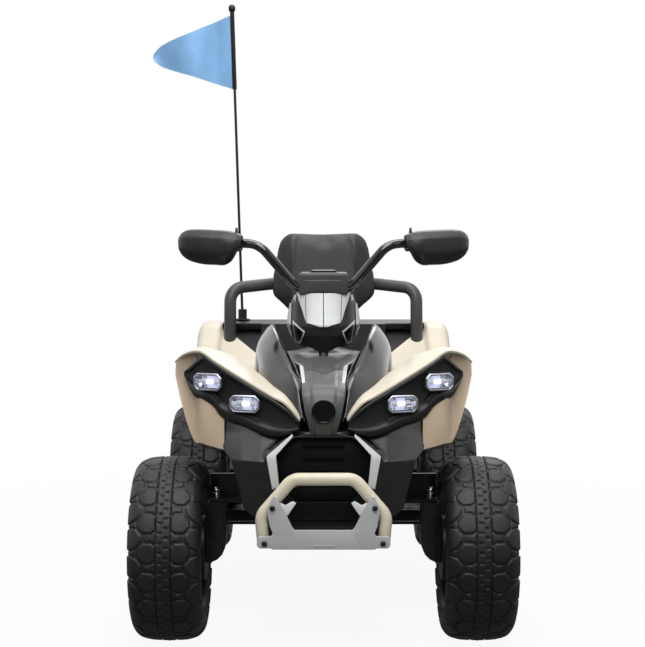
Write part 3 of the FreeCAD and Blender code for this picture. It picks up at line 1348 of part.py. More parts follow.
def dash_panel():
    """The closed box over the handlebar clamp."""
    low = d.bar_centre - Vector(s.dash_width / 2, s.dash_depth / 2, s.bar_diameter / 2)
    high = low + Vector(s.dash_width, s.dash_depth, s.dash_height)
    wide = level(low.z, [(low.x, low.y), (high.x, low.y), (high.x, high.y), (low.x, high.y)])
    lip_z = high.z - s.dash_height / 4
    shoulder = [Vector(p.x, p.y, lip_z) for p in wide]
    inset = s.dash_height / 8
    top = level(high.z, [(low.x + inset, low.y + inset), (high.x - inset, low.y + inset),
                         (high.x - inset, high.y - inset), (low.x + inset, high.y - inset)])
    solid = loft([wide, shoulder, top])
    run, knee, end = bar_points()
    corners = [end, knee, run]
    corners += [Vector(-p.x, p.y, p.z) for p in reversed(corners)]
    bar = tube(corners, s.bar_bend_radius, s.bar_diameter + 2 * s.seat_gap)
    column = rod(d.column_foot, d.bar_centre, s.column_diameter + 2 * s.panel_gap)
    feature("dash_panel", largest(solid.cut([bar, column])))


def nacelle_block(inset, drop, roof):
    """The nacelle's outside, or its inside when inset."""
    top = d.bar_z - s.bar_diameter / 2 - s.seat_gap - roof
    sections = []
    for down, wide, front, back in NACELLE_SHARES:
        half = s.nacelle_width / 2 * wide - inset
        y_front = d.bar_y - s.nacelle_depth * front + inset
        y_back = d.bar_y + s.nacelle_depth * back - inset
        z = top - (s.nacelle_height - roof) * down - (drop if down == 1 else 0)
        brow = (y_back - y_front) * 0.35
        sections.append(level(z, [(-half * 0.55, y_front), (half * 0.55, y_front), (half, y_front + brow),
                                  (half * 0.85, y_back), (-half * 0.85, y_back), (-half, y_front + brow)]))
    return loft(sections)


def nacelle():
    """The hollow cover under the dash, open below, with a hole for the column."""
    column = rod(d.column_foot, d.bar_centre, s.column_diameter + 4 * s.panel_gap)
    inside = nacelle_block(s.nacelle_wall, s.cut_overrun, s.nacelle_wall)
    feature("nacelle", largest(nacelle_block(0, 0, 0).cut([inside, column])))


def hand_guard():
    """One hand guard: a bent wall round the grip with a closed outer end."""
    run, knee, end = bar_points()
    sections = []
    plates = []
    for share, scale in GUARD_SCALE_SHARES:
        x = s.bar_end_out * share
        centre = knee + (end - knee) * ((x - knee.x) / (end.x - knee.x))
        line = [(centre.y + s.guard_reach * a * scale, centre.z + s.guard_height * b * scale)
                for a, b in GUARD_SHARES]
        sections.append(across(x, strip(line, -s.guard_wall)))
        plates.append((line, centre))
    line, centre = plates[-1]
    ring = line + [(centre.y + s.bar_diameter / 2, centre.z - s.bar_diameter)]
    skew = (s.bar_end_back - s.bar_knee_back) / (s.bar_end_out - s.bar_knee_out)
    start = s.bar_end_out + s.seat_gap + s.grip_diameter / 2 * skew
    outer = Part.Face(Part.makePolygon(across(start, ring + ring[:1])))
    plate = outer.extrude(Vector(s.guard_wall, 0, 0))
    sections.append([Vector(start + s.guard_wall, p.y, p.z) for p in sections[-1]])
    return largest(loft(sections).fuse(plate).removeSplitter())


bumper()
emblem_disc()
handlebar()
dash_panel()
nacelle()
guard = hand_guard()
feature("hand_guard_left", guard)
feature("hand_guard_right", mirrored(guard))


# Rear fenders, seat, backrest, rail and flag. The fender's rows hold shares: y of the tail's overhang from
# the rear axle, z from the tub's top to the tail's deck
REAR_FENDER_SHARES = [(-1.095, 0.02), (-1.0, 0.567), (-0.45, 0.79), (-0.20, 0.92), (0.58, 0.92), (0.9, 0.70),
                      (1.11, 0.36)]
REAR_EDGE_SHARES = [(0.0, 0.0), (0.615, 0.0), (0.64, -0.38), (0.9, -0.38), (0.98, -0.1), (1.0, 0.75)]
SEAT_SHARES = [(0.0, 0.58, 1.3), (0.17, 0.69, 0.95), (0.43, 0.85, 0.82), (0.75, 0.98, 0.95),
               (1.0, 0.96, 1.25)]
BACKREST_SHARES = [(0.0, 0.66, 0.85), (0.15, 0.74, 0.92), (0.36, 1.0, 1.0), (0.62, 0.97, 1.0), (0.91, 0.80, 0.86),
                   (1.0, 0.55, 0.6)]
FLAG_SHARES = [(0.0, 0.0), (0.12, 0.3), (0.25, 0.75), (0.38, 0.9), (0.5, 0.35), (0.62, -0.4), (0.75, -0.7),
               (0.88, -0.25), (1.0, 0.3)]


def tail_height(share):
    """Height over the ground, from the tub's top to the tail's deck."""
    return d.tub_top + (d.tail_z - d.tub_top) * share


def rail_points():
    """The grab rail's corners, from the foot on the rider's left up and across."""
    foot_y = d.rear_y - s.tail_overhang * 0.4
    back_y = d.rear_y - s.tail_overhang * 0.05 + s.rail_diameter / 2 + s.seat_gap
    foot_z = tail_height(0.8) - s.rail_sink
    top_z = foot_z + s.rail_height
    foot = Vector(s.rail_half_width, foot_y, foot_z)
    shoulder = Vector(s.rail_half_width, foot_y + s.rail_diameter * 0.7, top_z)
    inner = Vector(s.backrest_half_width, back_y, top_z + s.rail_diameter * 0.3)
    return foot, shoulder, inner


def grab_rail(grow):
    """The rail behind the backrest, larger by grow."""
    right = list(rail_points())
    left = [Vector(-p.x, p.y, p.z) for p in reversed(right)]
    bore = 0 if grow else s.rail_diameter - 2 * s.bar_wall
    return tube(right + left, s.rail_bend_radius, s.rail_diameter + 2 * grow, bore)


def flag_line():
    """Where the flag pole starts and the way it leans."""
    foot = Vector(value_of(FLAG_X), value_of(FLAG_Y), d.tail_z)
    way = Vector(-s.flag_pole_lean, 0, s.flag_pole_height).normalize()
    return foot, way


def rear_fender():
    """One rear fender: apron, deck and tail drop as a wall, with a turned-down outer lip."""
    inner_x = s.tail_width / 2 + s.seat_gap
    sections = []
    for out, drop in REAR_EDGE_SHARES:
        deck = (d.tail_z - s.tail_wing_thickness - s.seat_gap - d.tub_top) / (d.tail_z - d.tub_top) / 0.92
        line = [(d.rear_y + s.tail_overhang * a, tail_height(b * deck)) for a, b in REAR_FENDER_SHARES]
        line = offset_line(line, s.rear_fender_lip * drop) if drop else line
        sections.append(across(inner_x + s.rear_fender_width * out, strip(line, s.panel_wall)))
    return largest(loft(sections).cut(grab_rail(s.seat_gap)))


def seat_section(y, half, high):
    """One cushion section: flat foot, bowed sides and a crowned top."""
    foot = d.seat_z + s.seat_gap
    low, edge = half * 0.92, half * 0.8
    brow = high * 0.82
    bottom = Part.LineSegment(Vector(-low, y, foot), Vector(low, y, foot)).toShape()
    right, left = Vector(edge, y, foot + brow), Vector(-edge, y, foot + brow)
    side = Part.Arc(Vector(low, y, foot), Vector(half, y, foot + high * 0.5), right).toShape()
    top = Part.Arc(right, Vector(0, y, foot + high), left).toShape()
    other = Part.Arc(Vector(-edge, y, foot + brow), Vector(-half, y, foot + high * 0.5),
                     Vector(-low, y, foot)).toShape()
    return Part.Wire([bottom, side, top, other])


def seat():
    """The saddle cushion on the seat base, dipped in the middle."""
    front = d.front_y + s.nose_reach * 2 + s.panel_gap
    back = d.rear_y - s.tail_overhang * 0.39 - s.panel_gap
    wires = [seat_section(front + (back - front) * a, s.seat_half_width * b, s.seat_thickness * c)
             for a, b, c in SEAT_SHARES]
    feature("seat", Part.makeLoft(wires, True, False))


def backrest_section(z, half, deep):
    """One backrest section: flat back, bowed sides and three crowned panels with two channels between."""
    back = d.rear_y - s.tail_overhang * 0.05
    face = back - deep * 0.8
    crown = deep * 0.2
    seam = half * 0.55
    edge = half * 0.94

    def arc(a, b, c):
        return Part.Arc(Vector(*a, z), Vector(*b, z), Vector(*c, z)).toShape()

    side_x = (seam + edge) / 2
    return Part.Wire([
        Part.LineSegment(Vector(edge, back, z), Vector(-edge, back, z)).toShape(),
        arc((-edge, back), (-half, (back + face) / 2), (-edge, face)),
        arc((-edge, face), (-side_x, face - crown * 0.7), (-seam, face)),
        arc((-seam, face), (0, face - crown), (seam, face)),
        arc((seam, face), (side_x, face - crown * 0.7), (edge, face)),
        arc((edge, face), (half, (back + face) / 2), (edge, back)),
    ])


def backrest():
    """The padded backrest standing on the tail's deck."""
    foot = d.tail_z + s.seat_gap
    wires = [backrest_section(foot + s.backrest_height * a, s.backrest_half_width * b, s.backrest_thickness * c)
             for a, b, c in BACKREST_SHARES]
    feature("backrest", Part.makeLoft(wires, True, True))


def flag_parts(fender):
    """Socket, pole, sleeve and cloth of the flag. Returns the fender with a hole for the socket."""
    foot, way = flag_line()
    up = Vector(0, 0, 1)
    base = foot + up * s.seat_gap
    flange = Part.makeCylinder(s.socket_flange / 2, s.socket_flange_height, base, up)
    cup = Part.makeCylinder(s.socket_diameter / 2, s.socket_height, base, up)
    spigot_r = s.socket_diameter * 0.35
    spigot_foot = base - up * (3 * s.panel_wall)
    spigot = Part.makeCylinder(spigot_r, 4 * s.panel_wall, spigot_foot, up)
    pole_foot = base + way * s.socket_flange_height
    bore = rod(pole_foot, pole_foot + way * s.flag_pole_height, s.flag_pole_diameter + 2 * s.running_gap)
    feature("flag_socket", largest(flange.fuse([cup, spigot]).removeSplitter().cut(bore)))
    pole_start = pole_foot + way * s.seat_gap
    pole_end = foot + way * (s.flag_pole_height + s.socket_flange_height)
    tip_r = s.flag_tip_diameter / 2
    ball = Part.makeSphere(tip_r, pole_end)
    sleeve_end = pole_end - way * (tip_r + s.seat_gap)
    sleeve_start = sleeve_end - way * s.flag_hoist
    collar_start = sleeve_start - way * (tip_r + s.seat_gap)
    collar = rod(collar_start, sleeve_start - way * s.seat_gap, s.flag_tip_diameter)
    pole = rod(pole_start, pole_end, s.flag_pole_diameter)
    feature("flag_pole", pole.fuse([ball, collar]).removeSplitter())
    sleeve = rod(sleeve_start, sleeve_end, s.flag_sleeve_diameter)
    hole = rod(sleeve_start - way * tip_r, sleeve_end + way * tip_r, s.flag_pole_diameter + 2 * s.running_gap)
    feature("flag_sleeve", sleeve.cut(hole))
    middle = (sleeve_start + sleeve_end) / 2
    sections = []
    for share, wave in FLAG_SHARES:
        half = s.flag_hoist / 2 * (1 - share * 0.9) ** 0.7
        out = middle - Vector(s.flag_sleeve_diameter / 2 + s.running_gap + s.flag_length * share, 0, 0)
        lean = way * half
        sway = Vector(0, s.flag_length * 0.06 * wave, 0)
        thick = Vector(0, s.flag_thickness / 2, 0)
        droop = Vector(0, 0, -s.flag_hoist * 0.06 * share)
        at = out + sway + droop
        sections.append([at - lean - thick, at + lean - thick, at + lean + thick, at - lean + thick])
    feature("flag", loft(sections))
    hole_start = spigot_foot - up * s.panel_wall
    return fender.cut(Part.makeCylinder(spigot_r + s.seat_gap, 8 * s.panel_wall, hole_start, up))


doc.recompute()
seat()
backrest()
feature("grab_rail", grab_rail(0))
fender = rear_fender()
feature("rear_fender_left", fender)
feature("rear_fender_right", largest(flag_parts(mirrored(fender))))


def finish():
    """Recomputes, looks every piece over and writes one file each."""
    doc.recompute()
    for item in doc.Objects:
        if "Invalid" in item.State or "Error" in item.State:
            raise SystemExit(f"{item.Label} did not compute: {item.State}")
    os.makedirs("parts", exist_ok=True)
    for label, item in pieces.items():
        shape = item.Shape
        if shape.isNull() or not shape.isValid() or not shape.Solids:
            raise SystemExit(f"{label} has no sound solid")
        shape.exportStep(f"parts/{label}.step")
        print(label, len(shape.Solids), round(shape.Volume / 1000), shape.BoundBox)


finish()
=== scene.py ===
"""Looks of the kids quad bike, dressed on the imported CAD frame.

Pieces are surfaces on grids of points, worked out in millimetres in the shared frame: +Z up, the bike
faces -Y, +X is the rider's left. A mesh is written in metres with its object at the origin.
"""

import json
import math

import bmesh
import bpy
import numpy as np
from mathutils import Matrix, Vector


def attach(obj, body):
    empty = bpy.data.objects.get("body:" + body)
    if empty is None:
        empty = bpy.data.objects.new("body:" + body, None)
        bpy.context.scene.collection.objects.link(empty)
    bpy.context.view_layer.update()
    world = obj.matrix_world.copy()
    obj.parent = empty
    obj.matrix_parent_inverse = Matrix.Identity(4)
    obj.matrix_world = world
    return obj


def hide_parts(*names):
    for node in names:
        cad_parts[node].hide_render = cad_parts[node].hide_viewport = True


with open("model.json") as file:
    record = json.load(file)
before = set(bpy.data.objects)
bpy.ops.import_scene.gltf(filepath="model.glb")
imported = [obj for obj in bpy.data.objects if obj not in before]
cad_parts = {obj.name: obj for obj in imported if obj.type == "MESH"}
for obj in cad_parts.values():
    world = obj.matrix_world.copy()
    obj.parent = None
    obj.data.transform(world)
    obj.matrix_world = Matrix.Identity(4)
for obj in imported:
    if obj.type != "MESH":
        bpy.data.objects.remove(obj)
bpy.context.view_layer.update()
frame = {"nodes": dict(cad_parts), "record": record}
MM = 0.001


# Procedural materials

class Wire:
    """A node's output that can be added and multiplied, which makes the nodes for it."""

    def __init__(self, paint, socket):
        self.paint = paint
        self.socket = socket

    def math(self, operation, other):
        """One math node on this output and another output or a number."""
        return self.paint.node("ShaderNodeMath", {0: self, 1: other}, operation=operation)[0]

    def __add__(self, other):
        return self.math("ADD", other)

    def __mul__(self, other):
        return self.math("MULTIPLY", other)

    __radd__ = __add__
    __rmul__ = __mul__

    def over(self, low, high):
        """0 below low, 1 above high, and a smooth rise between."""
        inputs = {"Value": self, "From Min": low, "From Max": high}
        return self.paint.node("ShaderNodeMapRange", inputs, interpolation_type="SMOOTHSTEP")[0]


class Outputs:
    """A made node's outputs as wires."""

    def __init__(self, paint, made):
        self.paint = paint
        self.made = made

    def __getitem__(self, key):
        return Wire(self.paint, self.made.outputs[key])


class Paint:
    """The node tree of one material, or of one world."""

    def __init__(self, name, kind="materials"):
        self.block = getattr(bpy.data, kind).new(name)
        self.block.use_nodes = True
        self.tree = self.block.node_tree
        self.tree.nodes.clear()

    def node(self, kind, inputs=None, **settings):
        """Makes a node, sets its properties and inputs, and returns its outputs by name or number."""
        made = self.tree.nodes.new(kind)
        for name, value in settings.items():
            setattr(made, name, value)
        for name, value in (inputs or {}).items():
            if isinstance(value, Wire):
                self.tree.links.new(value.socket, made.inputs[name])
            else:
                made.inputs[name].default_value = value
        return Outputs(self, made)

    def coords(self):
        """The place in the object, in metres."""
        return self.node("ShaderNodeTexCoord")["Object"]

    def noise(self, scale, detail, rough=0.55, stretch=None):
        """Cloudy noise from 0 to 1. Scale counts features to the metre."""
        place = self.coords()
        if stretch:
            place = self.node("ShaderNodeMapping", {"Vector": place, "Scale": stretch})[0]
        inputs = {"Vector": place, "Scale": scale, "Detail": detail, "Roughness": rough}
        return self.node("ShaderNodeTexNoise", inputs)[0]

    def cells(self, scale):
        """Distance within cells, for pebbled grain."""
        return self.node("ShaderNodeTexVoronoi", {"Vector": self.coords(), "Scale": scale})[0]

    def attribute(self, name):
        """A value kept on the mesh's points."""
        return self.node("ShaderNodeAttribute", attribute_name=name)["Fac"]

    def mix(self, factor, low, high):
        """A colour between two colours."""
        return self.node("ShaderNodeMix", {0: factor, 6: low, 7: high}, data_type="RGBA")[2]

    def bump(self, height, distance, strength=1.0):
        """A bumped normal. Distance is the height in metres."""
        return self.node("ShaderNodeBump", {"Height": height, "Distance": distance, "Strength": strength})[0]

    def finish(self, **inputs):
        """Ends the material in a Principled shader. Underscores in input names stand for spaces."""
        named = {name.replace("_", " "): value for name, value in inputs.items()}
        shader = self.node("ShaderNodeBsdfPrincipled", named)[0]
        self.node("ShaderNodeOutputMaterial", {"Surface": shader})
        return self.block


def shade(colour, factor):
    """A colour made lighter or darker, as red, green, blue and one."""
    return tuple(min(1.0, channel * factor) for channel in colour) + (1.0,)


def plastic(name, colour, rough, grain, scale, mottle, coat=0.0, metal=0.0, scuff=0.0, shine=0.3):
    """Moulded plastic or paint: cloudy shade, fine grain in the surface and uneven gloss."""
    paint = Paint(name)
    cloud = paint.noise(9.0, 4.0)
    tint = paint.mix(cloud.over(0.3, 0.7), shade(colour, 1 - mottle), shade(colour, 1 + mottle))
    if scuff:
        marks = paint.noise(70.0, 6.0, 0.7, (1.0, 3.0, 1.0)).over(0.62, 0.78)
        tint = paint.mix(marks * scuff, tint, shade(colour, 1.6))
    fine = paint.noise(scale, 2.0)
    gloss = (fine * 0.10 + cloud * 0.10) + (rough - 0.10)
    return paint.finish(Base_Color=tint, Roughness=gloss, Metallic=metal, Specular_IOR_Level=shine,
                        Coat_Weight=coat, Coat_Roughness=0.08, Normal=paint.bump(fine, grain))


def leather(name, colour, rough):
    """Grained synthetic leather: pebbles with creases between them, cloudy shade, and darker bolsters."""
    paint = Paint(name)
    pebble = paint.cells(520.0)
    cloud = paint.noise(14.0, 4.0)
    tint = paint.mix(pebble.over(0.2, 0.75), shade(colour, 1.12), shade(colour, 0.7))
    tint = paint.mix(cloud * 0.35, tint, shade(colour, 1.3))
    tint = paint.mix(paint.attribute("bolster") * 0.5, tint, (0.0, 0.0, 0.0, 1.0))
    relief = (pebble * -1.0) + paint.noise(1800.0, 2.0) * 0.25
    return paint.finish(Base_Color=tint, Roughness=cloud * 0.14 + (rough - 0.07), Specular_IOR_Level=0.28,
                        Normal=paint.bump(relief, 0.0003, 0.7))


def rubber(name, colour):
    """Moulded tyre foam: dull, faintly mottled, and paler on the raised tread than in the grooves."""
    paint = Paint(name)
    cloud = paint.noise(26.0, 5.0)
    fine = paint.noise(900.0, 3.0, 0.7)
    raised_tread = paint.attribute("raised_tread")
    tint = paint.mix(cloud.over(0.35, 0.7), shade(colour, 0.8), shade(colour, 1.25))
    tint = paint.mix((raised_tread * 0.55) * cloud.over(0.2, 0.8), tint, shade(colour, 1.9))
    return paint.finish(Base_Color=tint, Roughness=fine * 0.12 + cloud * 0.12 + 0.34, Specular_IOR_Level=0.42,
                        Normal=paint.bump(fine + cloud * 0.5, 0.00035))


def metal(name, colour, rough):
    """Bare or plated metal with faint drawn streaks."""
    paint = Paint(name)
    streak = paint.noise(240.0, 3.0, 0.6, (0.15, 1.0, 1.0))
    tint = paint.mix(streak, shade(colour, 0.88), shade(colour, 1.06))
    return paint.finish(Base_Color=tint, Metallic=1.0, Roughness=streak * 0.14 + (rough - 0.07),
                        Normal=paint.bump(streak, 0.00003))


def cloth(name, colour):
    """Thin cloth: crossed threads and soft cloudy shade."""
    paint = Paint(name)
    warp = paint.noise(2600.0, 2.0, 0.5, (0.08, 1.0, 1.0))
    weft = paint.noise(2600.0, 2.0, 0.5, (1.0, 1.0, 0.08))
    cloud = paint.noise(18.0, 3.0)
    weave = (warp + weft) * 0.5
    tint = paint.mix(cloud.over(0.3, 0.75), shade(colour, 0.9), shade(colour, 1.08))
    tint = paint.mix(weave.over(0.42, 0.6) * 0.4, tint, shade(colour, 1.2))
    return paint.finish(Base_Color=tint, Roughness=weave * 0.2 + 0.65, Sheen_Weight=0.25,
                        Normal=paint.bump(weave, 0.0002))


def lens_clear(name):
    """Clear moulded lens with a faint fluting."""
    paint = Paint(name)
    flute = paint.noise(420.0, 2.0, 0.5, (1.0, 1.0, 0.1))
    return paint.finish(Base_Color=(0.96, 0.97, 1.0, 1.0), Roughness=flute * 0.06 + 0.02, IOR=1.2,
                        Transmission_Weight=1.0, Normal=paint.bump(flute, 0.00008))


def led_glow(name):
    """The lit chip of a lamp, bluish white and unevenly bright."""
    paint = Paint(name)
    bright = paint.noise(300.0, 2.0)
    tint = paint.mix(bright, (0.62, 0.66, 1.0, 1.0), (0.95, 0.96, 1.0, 1.0))
    return paint.finish(Base_Color=(0.8, 0.82, 0.9, 1.0), Roughness=bright * 0.2 + 0.2, Emission_Color=tint,
                        Emission_Strength=1.0)


# Rows of plastics: name, colour, roughness, height and scale of the grain, mottle, coat, metal, scuff
MATERIALS = {
    "tyre": rubber("tyre foam", (0.0085, 0.0086, 0.0088)),
    "black": plastic("black grained plastic", (0.009, 0.009, 0.0095), 0.4, 0.00012, 1100.0, 0.12, scuff=0.02),
    "satin": plastic("black satin fairing", (0.006, 0.0062, 0.006), 0.30, 0.00005, 1100.0, 0.1, scuff=0.01,
                     shine=0.85),
    "dark": plastic("dark satin plastic", (0.014, 0.0143, 0.015), 0.38, 0.0001, 1200.0, 0.1, scuff=0.02,
                    shine=0.35),
    "grey": plastic("dash grey plastic", (0.062, 0.064, 0.063), 0.4, 0.0001, 1200.0, 0.08, scuff=0.02),
    "gloss": plastic("gloss black plastic", (0.006, 0.006, 0.0068), 0.18, 0.00002, 900.0, 0.1, 0.5,
                     shine=0.6),
    "badge": plastic("badge black plastic", (0.005, 0.005, 0.0055), 0.22, 0.00002, 900.0, 0.1),
    "hood": plastic("grey hood plastic", (0.092, 0.096, 0.089), 0.34, 0.00008, 1200.0, 0.06, 0.08),
    "beige": plastic("beige body plastic", (0.80, 0.735, 0.595), 0.38, 0.00003, 900.0, 0.02, 0.1),
    # The skirt finish under the key "tan" is the beige plastic darkened and browned. This is painted shade
    # for faces turned away from the light.
    "tan": plastic("beige skirt plastic with painted shade", (0.60, 0.475, 0.335), 0.4, 0.00003, 900.0, 0.03, 0.08),
    "silver": plastic("silver painted plastic", (0.70, 0.71, 0.69), 0.3, 0.00003, 2200.0, 0.04, 0.15, 0.1),
    "panel": plastic("silver nacelle panel", (0.52, 0.535, 0.52), 0.32, 0.00003, 2200.0, 0.05, 0.1, 0.1),
    "plate": plastic("silver painted plate", (0.54, 0.55, 0.545), 0.38, 0.00005, 1800.0, 0.05, 0.1, 0.1,
                     0.04),
    "beige_metal": plastic("beige painted tube", (0.80, 0.73, 0.565), 0.34, 0.00003, 800.0, 0.02, 0.15),
    "steel_dark": plastic("dark coated steel", (0.013, 0.013, 0.014), 0.34, 0.00006, 1500.0, 0.12, 0.05,
                          scuff=0.04, shine=0.4),
    "rail": plastic("black rail tube", (0.07, 0.07, 0.071), 0.34, 0.00005, 900.0, 0.1, 0.05, shine=0.4),
    "tube_black": plastic("black gloss tube", (0.012, 0.012, 0.0125), 0.13, 0.00002, 900.0, 0.1, 0.6,
                          shine=0.6),
    "matt": plastic("matt black recess", (0.007, 0.007, 0.0072), 0.6, 0.00012, 1100.0, 0.12, shine=0.12),
    "trim": plastic("bright trim paint", (0.86, 0.87, 0.85), 0.3, 0.00003, 2200.0, 0.04, 0.15, 0.05),
    "chrome": metal("bright chrome", (0.82, 0.82, 0.83), 0.14),
    "zinc": metal("zinc plate", (0.50, 0.51, 0.52), 0.36),
    "reflector": metal("lamp reflector", (0.62, 0.64, 0.70), 0.24),
    "grip": plastic("grip rubber", (0.010, 0.010, 0.011), 0.6, 0.00025, 700.0, 0.12, shine=0.2),
    "seat": leather("seat leather", (0.010, 0.010, 0.0115), 0.4),
    "backrest": leather("backrest leather", (0.085, 0.089, 0.087), 0.5),
    "flag": cloth("flag cloth", (0.23, 0.46, 0.77)),
    "lens": lens_clear("lamp lens"),
    "led": led_glow("lamp chip"),
    "red": plastic("red button", (0.5, 0.03, 0.025), 0.35, 0.00004, 900.0, 0.06, 0.2),
}

FINISH_OF_SLOT = {
    "tyre_black": "tyre", "black_plastic": "black", "gloss_black": "gloss", "hood_grey": "hood",
    "beige_plastic": "beige", "silver_plastic": "silver", "bumper_beige": "beige_metal",
    "bumper_silver": "plate", "dark_steel": "steel_dark", "chrome_steel": "chrome", "zinc_steel": "zinc",
    "grip_rubber": "grip", "lamp_silver": "reflector", "lamp_clear": "lens", "seat_leather": "seat",
    "backrest_grey": "backrest", "flag_blue": "flag", "button_red": "red", "battery_case": "dark",
}


# Grids of points

def smooth_along(points, count, axis=0):
    """Cubic curves through rows of points, spaced by their mean distance, sampled at count even steps."""
    rows = np.moveaxis(np.asarray(points, float), axis, 0)
    steps = np.linalg.norm(np.diff(rows, axis=0), axis=-1)
    steps = steps.reshape(len(rows) - 1, -1).mean(axis=1)
    knots = np.concatenate([[0], np.cumsum(np.maximum(steps, 1e-6))])
    slopes = np.gradient(rows, knots, axis=0)
    places = np.linspace(0, knots[-1], count)
    low = np.clip(np.searchsorted(knots, places, side="right") - 1, 0, len(rows) - 2)
    span = (knots[low + 1] - knots[low])
    t = ((places - knots[low]) / span).reshape((-1,) + (1,) * (rows.ndim - 1))
    span = span.reshape(t.shape)
    a, b = rows[low], rows[low + 1]
    made = (a * (2 * t**3 - 3 * t**2 + 1) + b * (3 * t**2 - 2 * t**3)
            + slopes[low] * span * (t**3 - 2 * t**2 + t) + slopes[low + 1] * span * (t**3 - t**2))
    return np.moveaxis(made, 0, axis)


def straight_along(points, count, axis=0):
    """Straight runs through rows of points, with every row kept and count steps in each run."""
    rows = np.moveaxis(np.asarray(points, float), axis, 0)
    t = np.linspace(0, 1, count + 1)[1:].reshape((-1,) + (1,) * (rows.ndim - 1))
    made = [rows[:1]] + [a + (b - a) * t for a, b in zip(rows, rows[1:])]
    return np.moveaxis(np.concatenate(made), 0, axis)


def eased(points, axis, ratio, rounds):
    """Cuts every corner of the rows of points at a share of its runs, several times, and keeps the ends."""
    rows = np.moveaxis(np.asarray(points, float), axis, 0)
    for turn in range(rounds):
        share = ratio if turn == 0 else 0.25
        a, b = rows[:-1], rows[1:]
        cut = np.stack([a + (b - a) * share, a + (b - a) * (1 - share)], axis=1)
        rows = np.concatenate([rows[:1], cut.reshape((-1,) + rows.shape[1:])[1:-1], rows[-1:]])
    return np.moveaxis(rows, 0, axis)


def xyz(x, y, z):
    """A grid of points from its three coordinates, each a number, a row, a column or a whole grid."""
    return np.stack(np.broadcast_arrays(x, y, z), axis=-1)


def lifted(flat, y):
    """Points given as (x, z), with their y put between."""
    return xyz(flat[..., 0], y, flat[..., 1])


def rise(value, soft):
    """0 at zero and below, 1 at soft and above, smooth between."""
    t = np.clip(value / soft, 0, 1)
    return t * t * (3 - 2 * t)


def bulge(value, power):
    """A cosine or sine raised to a power with its sign kept, for superellipses."""
    return np.sign(value) * np.abs(value) ** power


def around(sides):
    """Even angles once round."""
    return np.linspace(0, 2 * math.pi, sides, endpoint=False)


def unit(rows):
    """Rows of vectors made one long."""
    return rows / np.linalg.norm(rows, axis=-1, keepdims=True)


def outward(line):
    """Unit normals of a flat line of points, to the left of its run."""
    way = np.gradient(line, axis=0)
    return unit(np.stack([-way[:, 1], way[:, 0]], axis=1))


def quads(rows, cols, wrap_rows=False, wrap_cols=False):
    """Corner numbers of the squares of a grid."""
    r = np.arange(rows if wrap_rows else rows - 1)
    c = np.arange(cols if wrap_cols else cols - 1)
    r, c = [item.ravel() for item in np.meshgrid(r, c, indexing="ij")]
    r2, c2 = (r + 1) % rows, (c + 1) % cols
    return np.stack([r * cols + c, r * cols + c2, r2 * cols + c2, r2 * cols + c], axis=1)


def grid_normals(grid):
    """Unit normals at the points of a grid."""
    normal = np.cross(np.gradient(grid, axis=1), np.gradient(grid, axis=0))
    return normal / np.maximum(np.linalg.norm(normal, axis=-1, keepdims=True), 1e-9)


# Closed parts, each a pair of points and faces

def shell(grid, wall):
    """A wall of even thickness under a grid of points."""
    rows, cols = grid.shape[:2]
    under = grid - grid_normals(grid) * wall
    top = quads(rows, cols)
    low = top[:, ::-1] + rows * cols
    order = np.arange(rows * cols).reshape(rows, cols)
    ring = np.concatenate([order[0], order[1:, -1], order[-1, -2::-1], order[-2:0:-1, 0]])
    after = np.roll(ring, -1)
    side = np.stack([ring, ring + rows * cols, after + rows * cols, after], axis=1)
    return np.concatenate([grid.reshape(-1, 3), under.reshape(-1, 3)]), np.concatenate([top, low, side])


def flip_x(parts):
    """The same parts on the other side of the bike."""
    return [(np.asarray(points, float).reshape(-1, 3) * (-1, 1, 1), [list(face)[::-1] for face in faces])
            for points, faces in parts]


def pair(parts):
    """Parts of the left side with the same parts on the right."""
    return parts + flip_x(parts)


def hands(parts):
    """Both hands' names, each with the left parts or the same parts on the right."""
    return ("left", parts), ("right", flip_x(parts))


def rings(loops):
    """A closed skin through loops of points, all of one length, with flat ends."""
    loops = np.asarray(loops, float)
    rows, cols = loops.shape[:2]
    faces = quads(rows, cols, wrap_cols=True).tolist()
    faces.append(list(range(cols))[::-1])
    faces.append(list(range((rows - 1) * cols, rows * cols)))
    return loops.reshape(-1, 3), faces


def torus(loops):
    """A skin through loops that closes on itself from the last loop to the first, as a sleeve does."""
    loops = np.asarray(loops, float)
    return loops.reshape(-1, 3), quads(*loops.shape[:2], wrap_rows=True, wrap_cols=True)


def bent_line(corners, bend, steps=10):
    """A line through corners, each rounded by an arc of radius bend."""
    corners = [np.asarray(point, float) for point in corners]
    line = [corners[0]]
    for before, here, after in zip(corners, corners[1:], corners[2:]):
        a, b = unit(before - here), unit(after - here)
        half = math.acos(np.clip(a @ b, -1, 1)) / 2
        reach = bend / math.tan(half)
        middle = here + unit(a + b) * bend / math.sin(half)
        first, last = here + a * reach - middle, here + b * reach - middle
        turn = math.pi - 2 * half
        t = np.linspace(0, 1, steps)[:, None]
        line.extend(middle + (first * np.sin((1 - t) * turn) + last * np.sin(t * turn)) / math.sin(turn))
    line.append(corners[-1])
    return np.array(line)


DOME_ANGLES, DOME_FLATNESS = (0.5, 1.0, 1.35), 0.35


def tube(line, radius, sides=28):
    """A circle carried along a line, with its ends drawn in over a short dome."""
    way = unit(np.gradient(line, axis=0))
    turn = around(sides)[:, None]
    side = np.cross(way[0], (0.31, 0.27, 0.91))
    circles = []
    for along in way:
        side = unit(side - along * (side @ along))
        circles.append(np.cos(turn) * side + np.sin(turn) * np.cross(along, side))
    rows = [point + radius * circle for point, circle in zip(line, circles)]
    for end, sign in ((0, -1), (-1, 1)):
        caps = []
        for angle in DOME_ANGLES:
            tip = line[end] + way[end] * sign * math.sin(angle) * radius * DOME_FLATNESS
            caps.append(tip + math.cos(angle) * radius * circles[end])
        rows = caps[::-1] + rows if end == 0 else rows + caps
    return rings(rows)


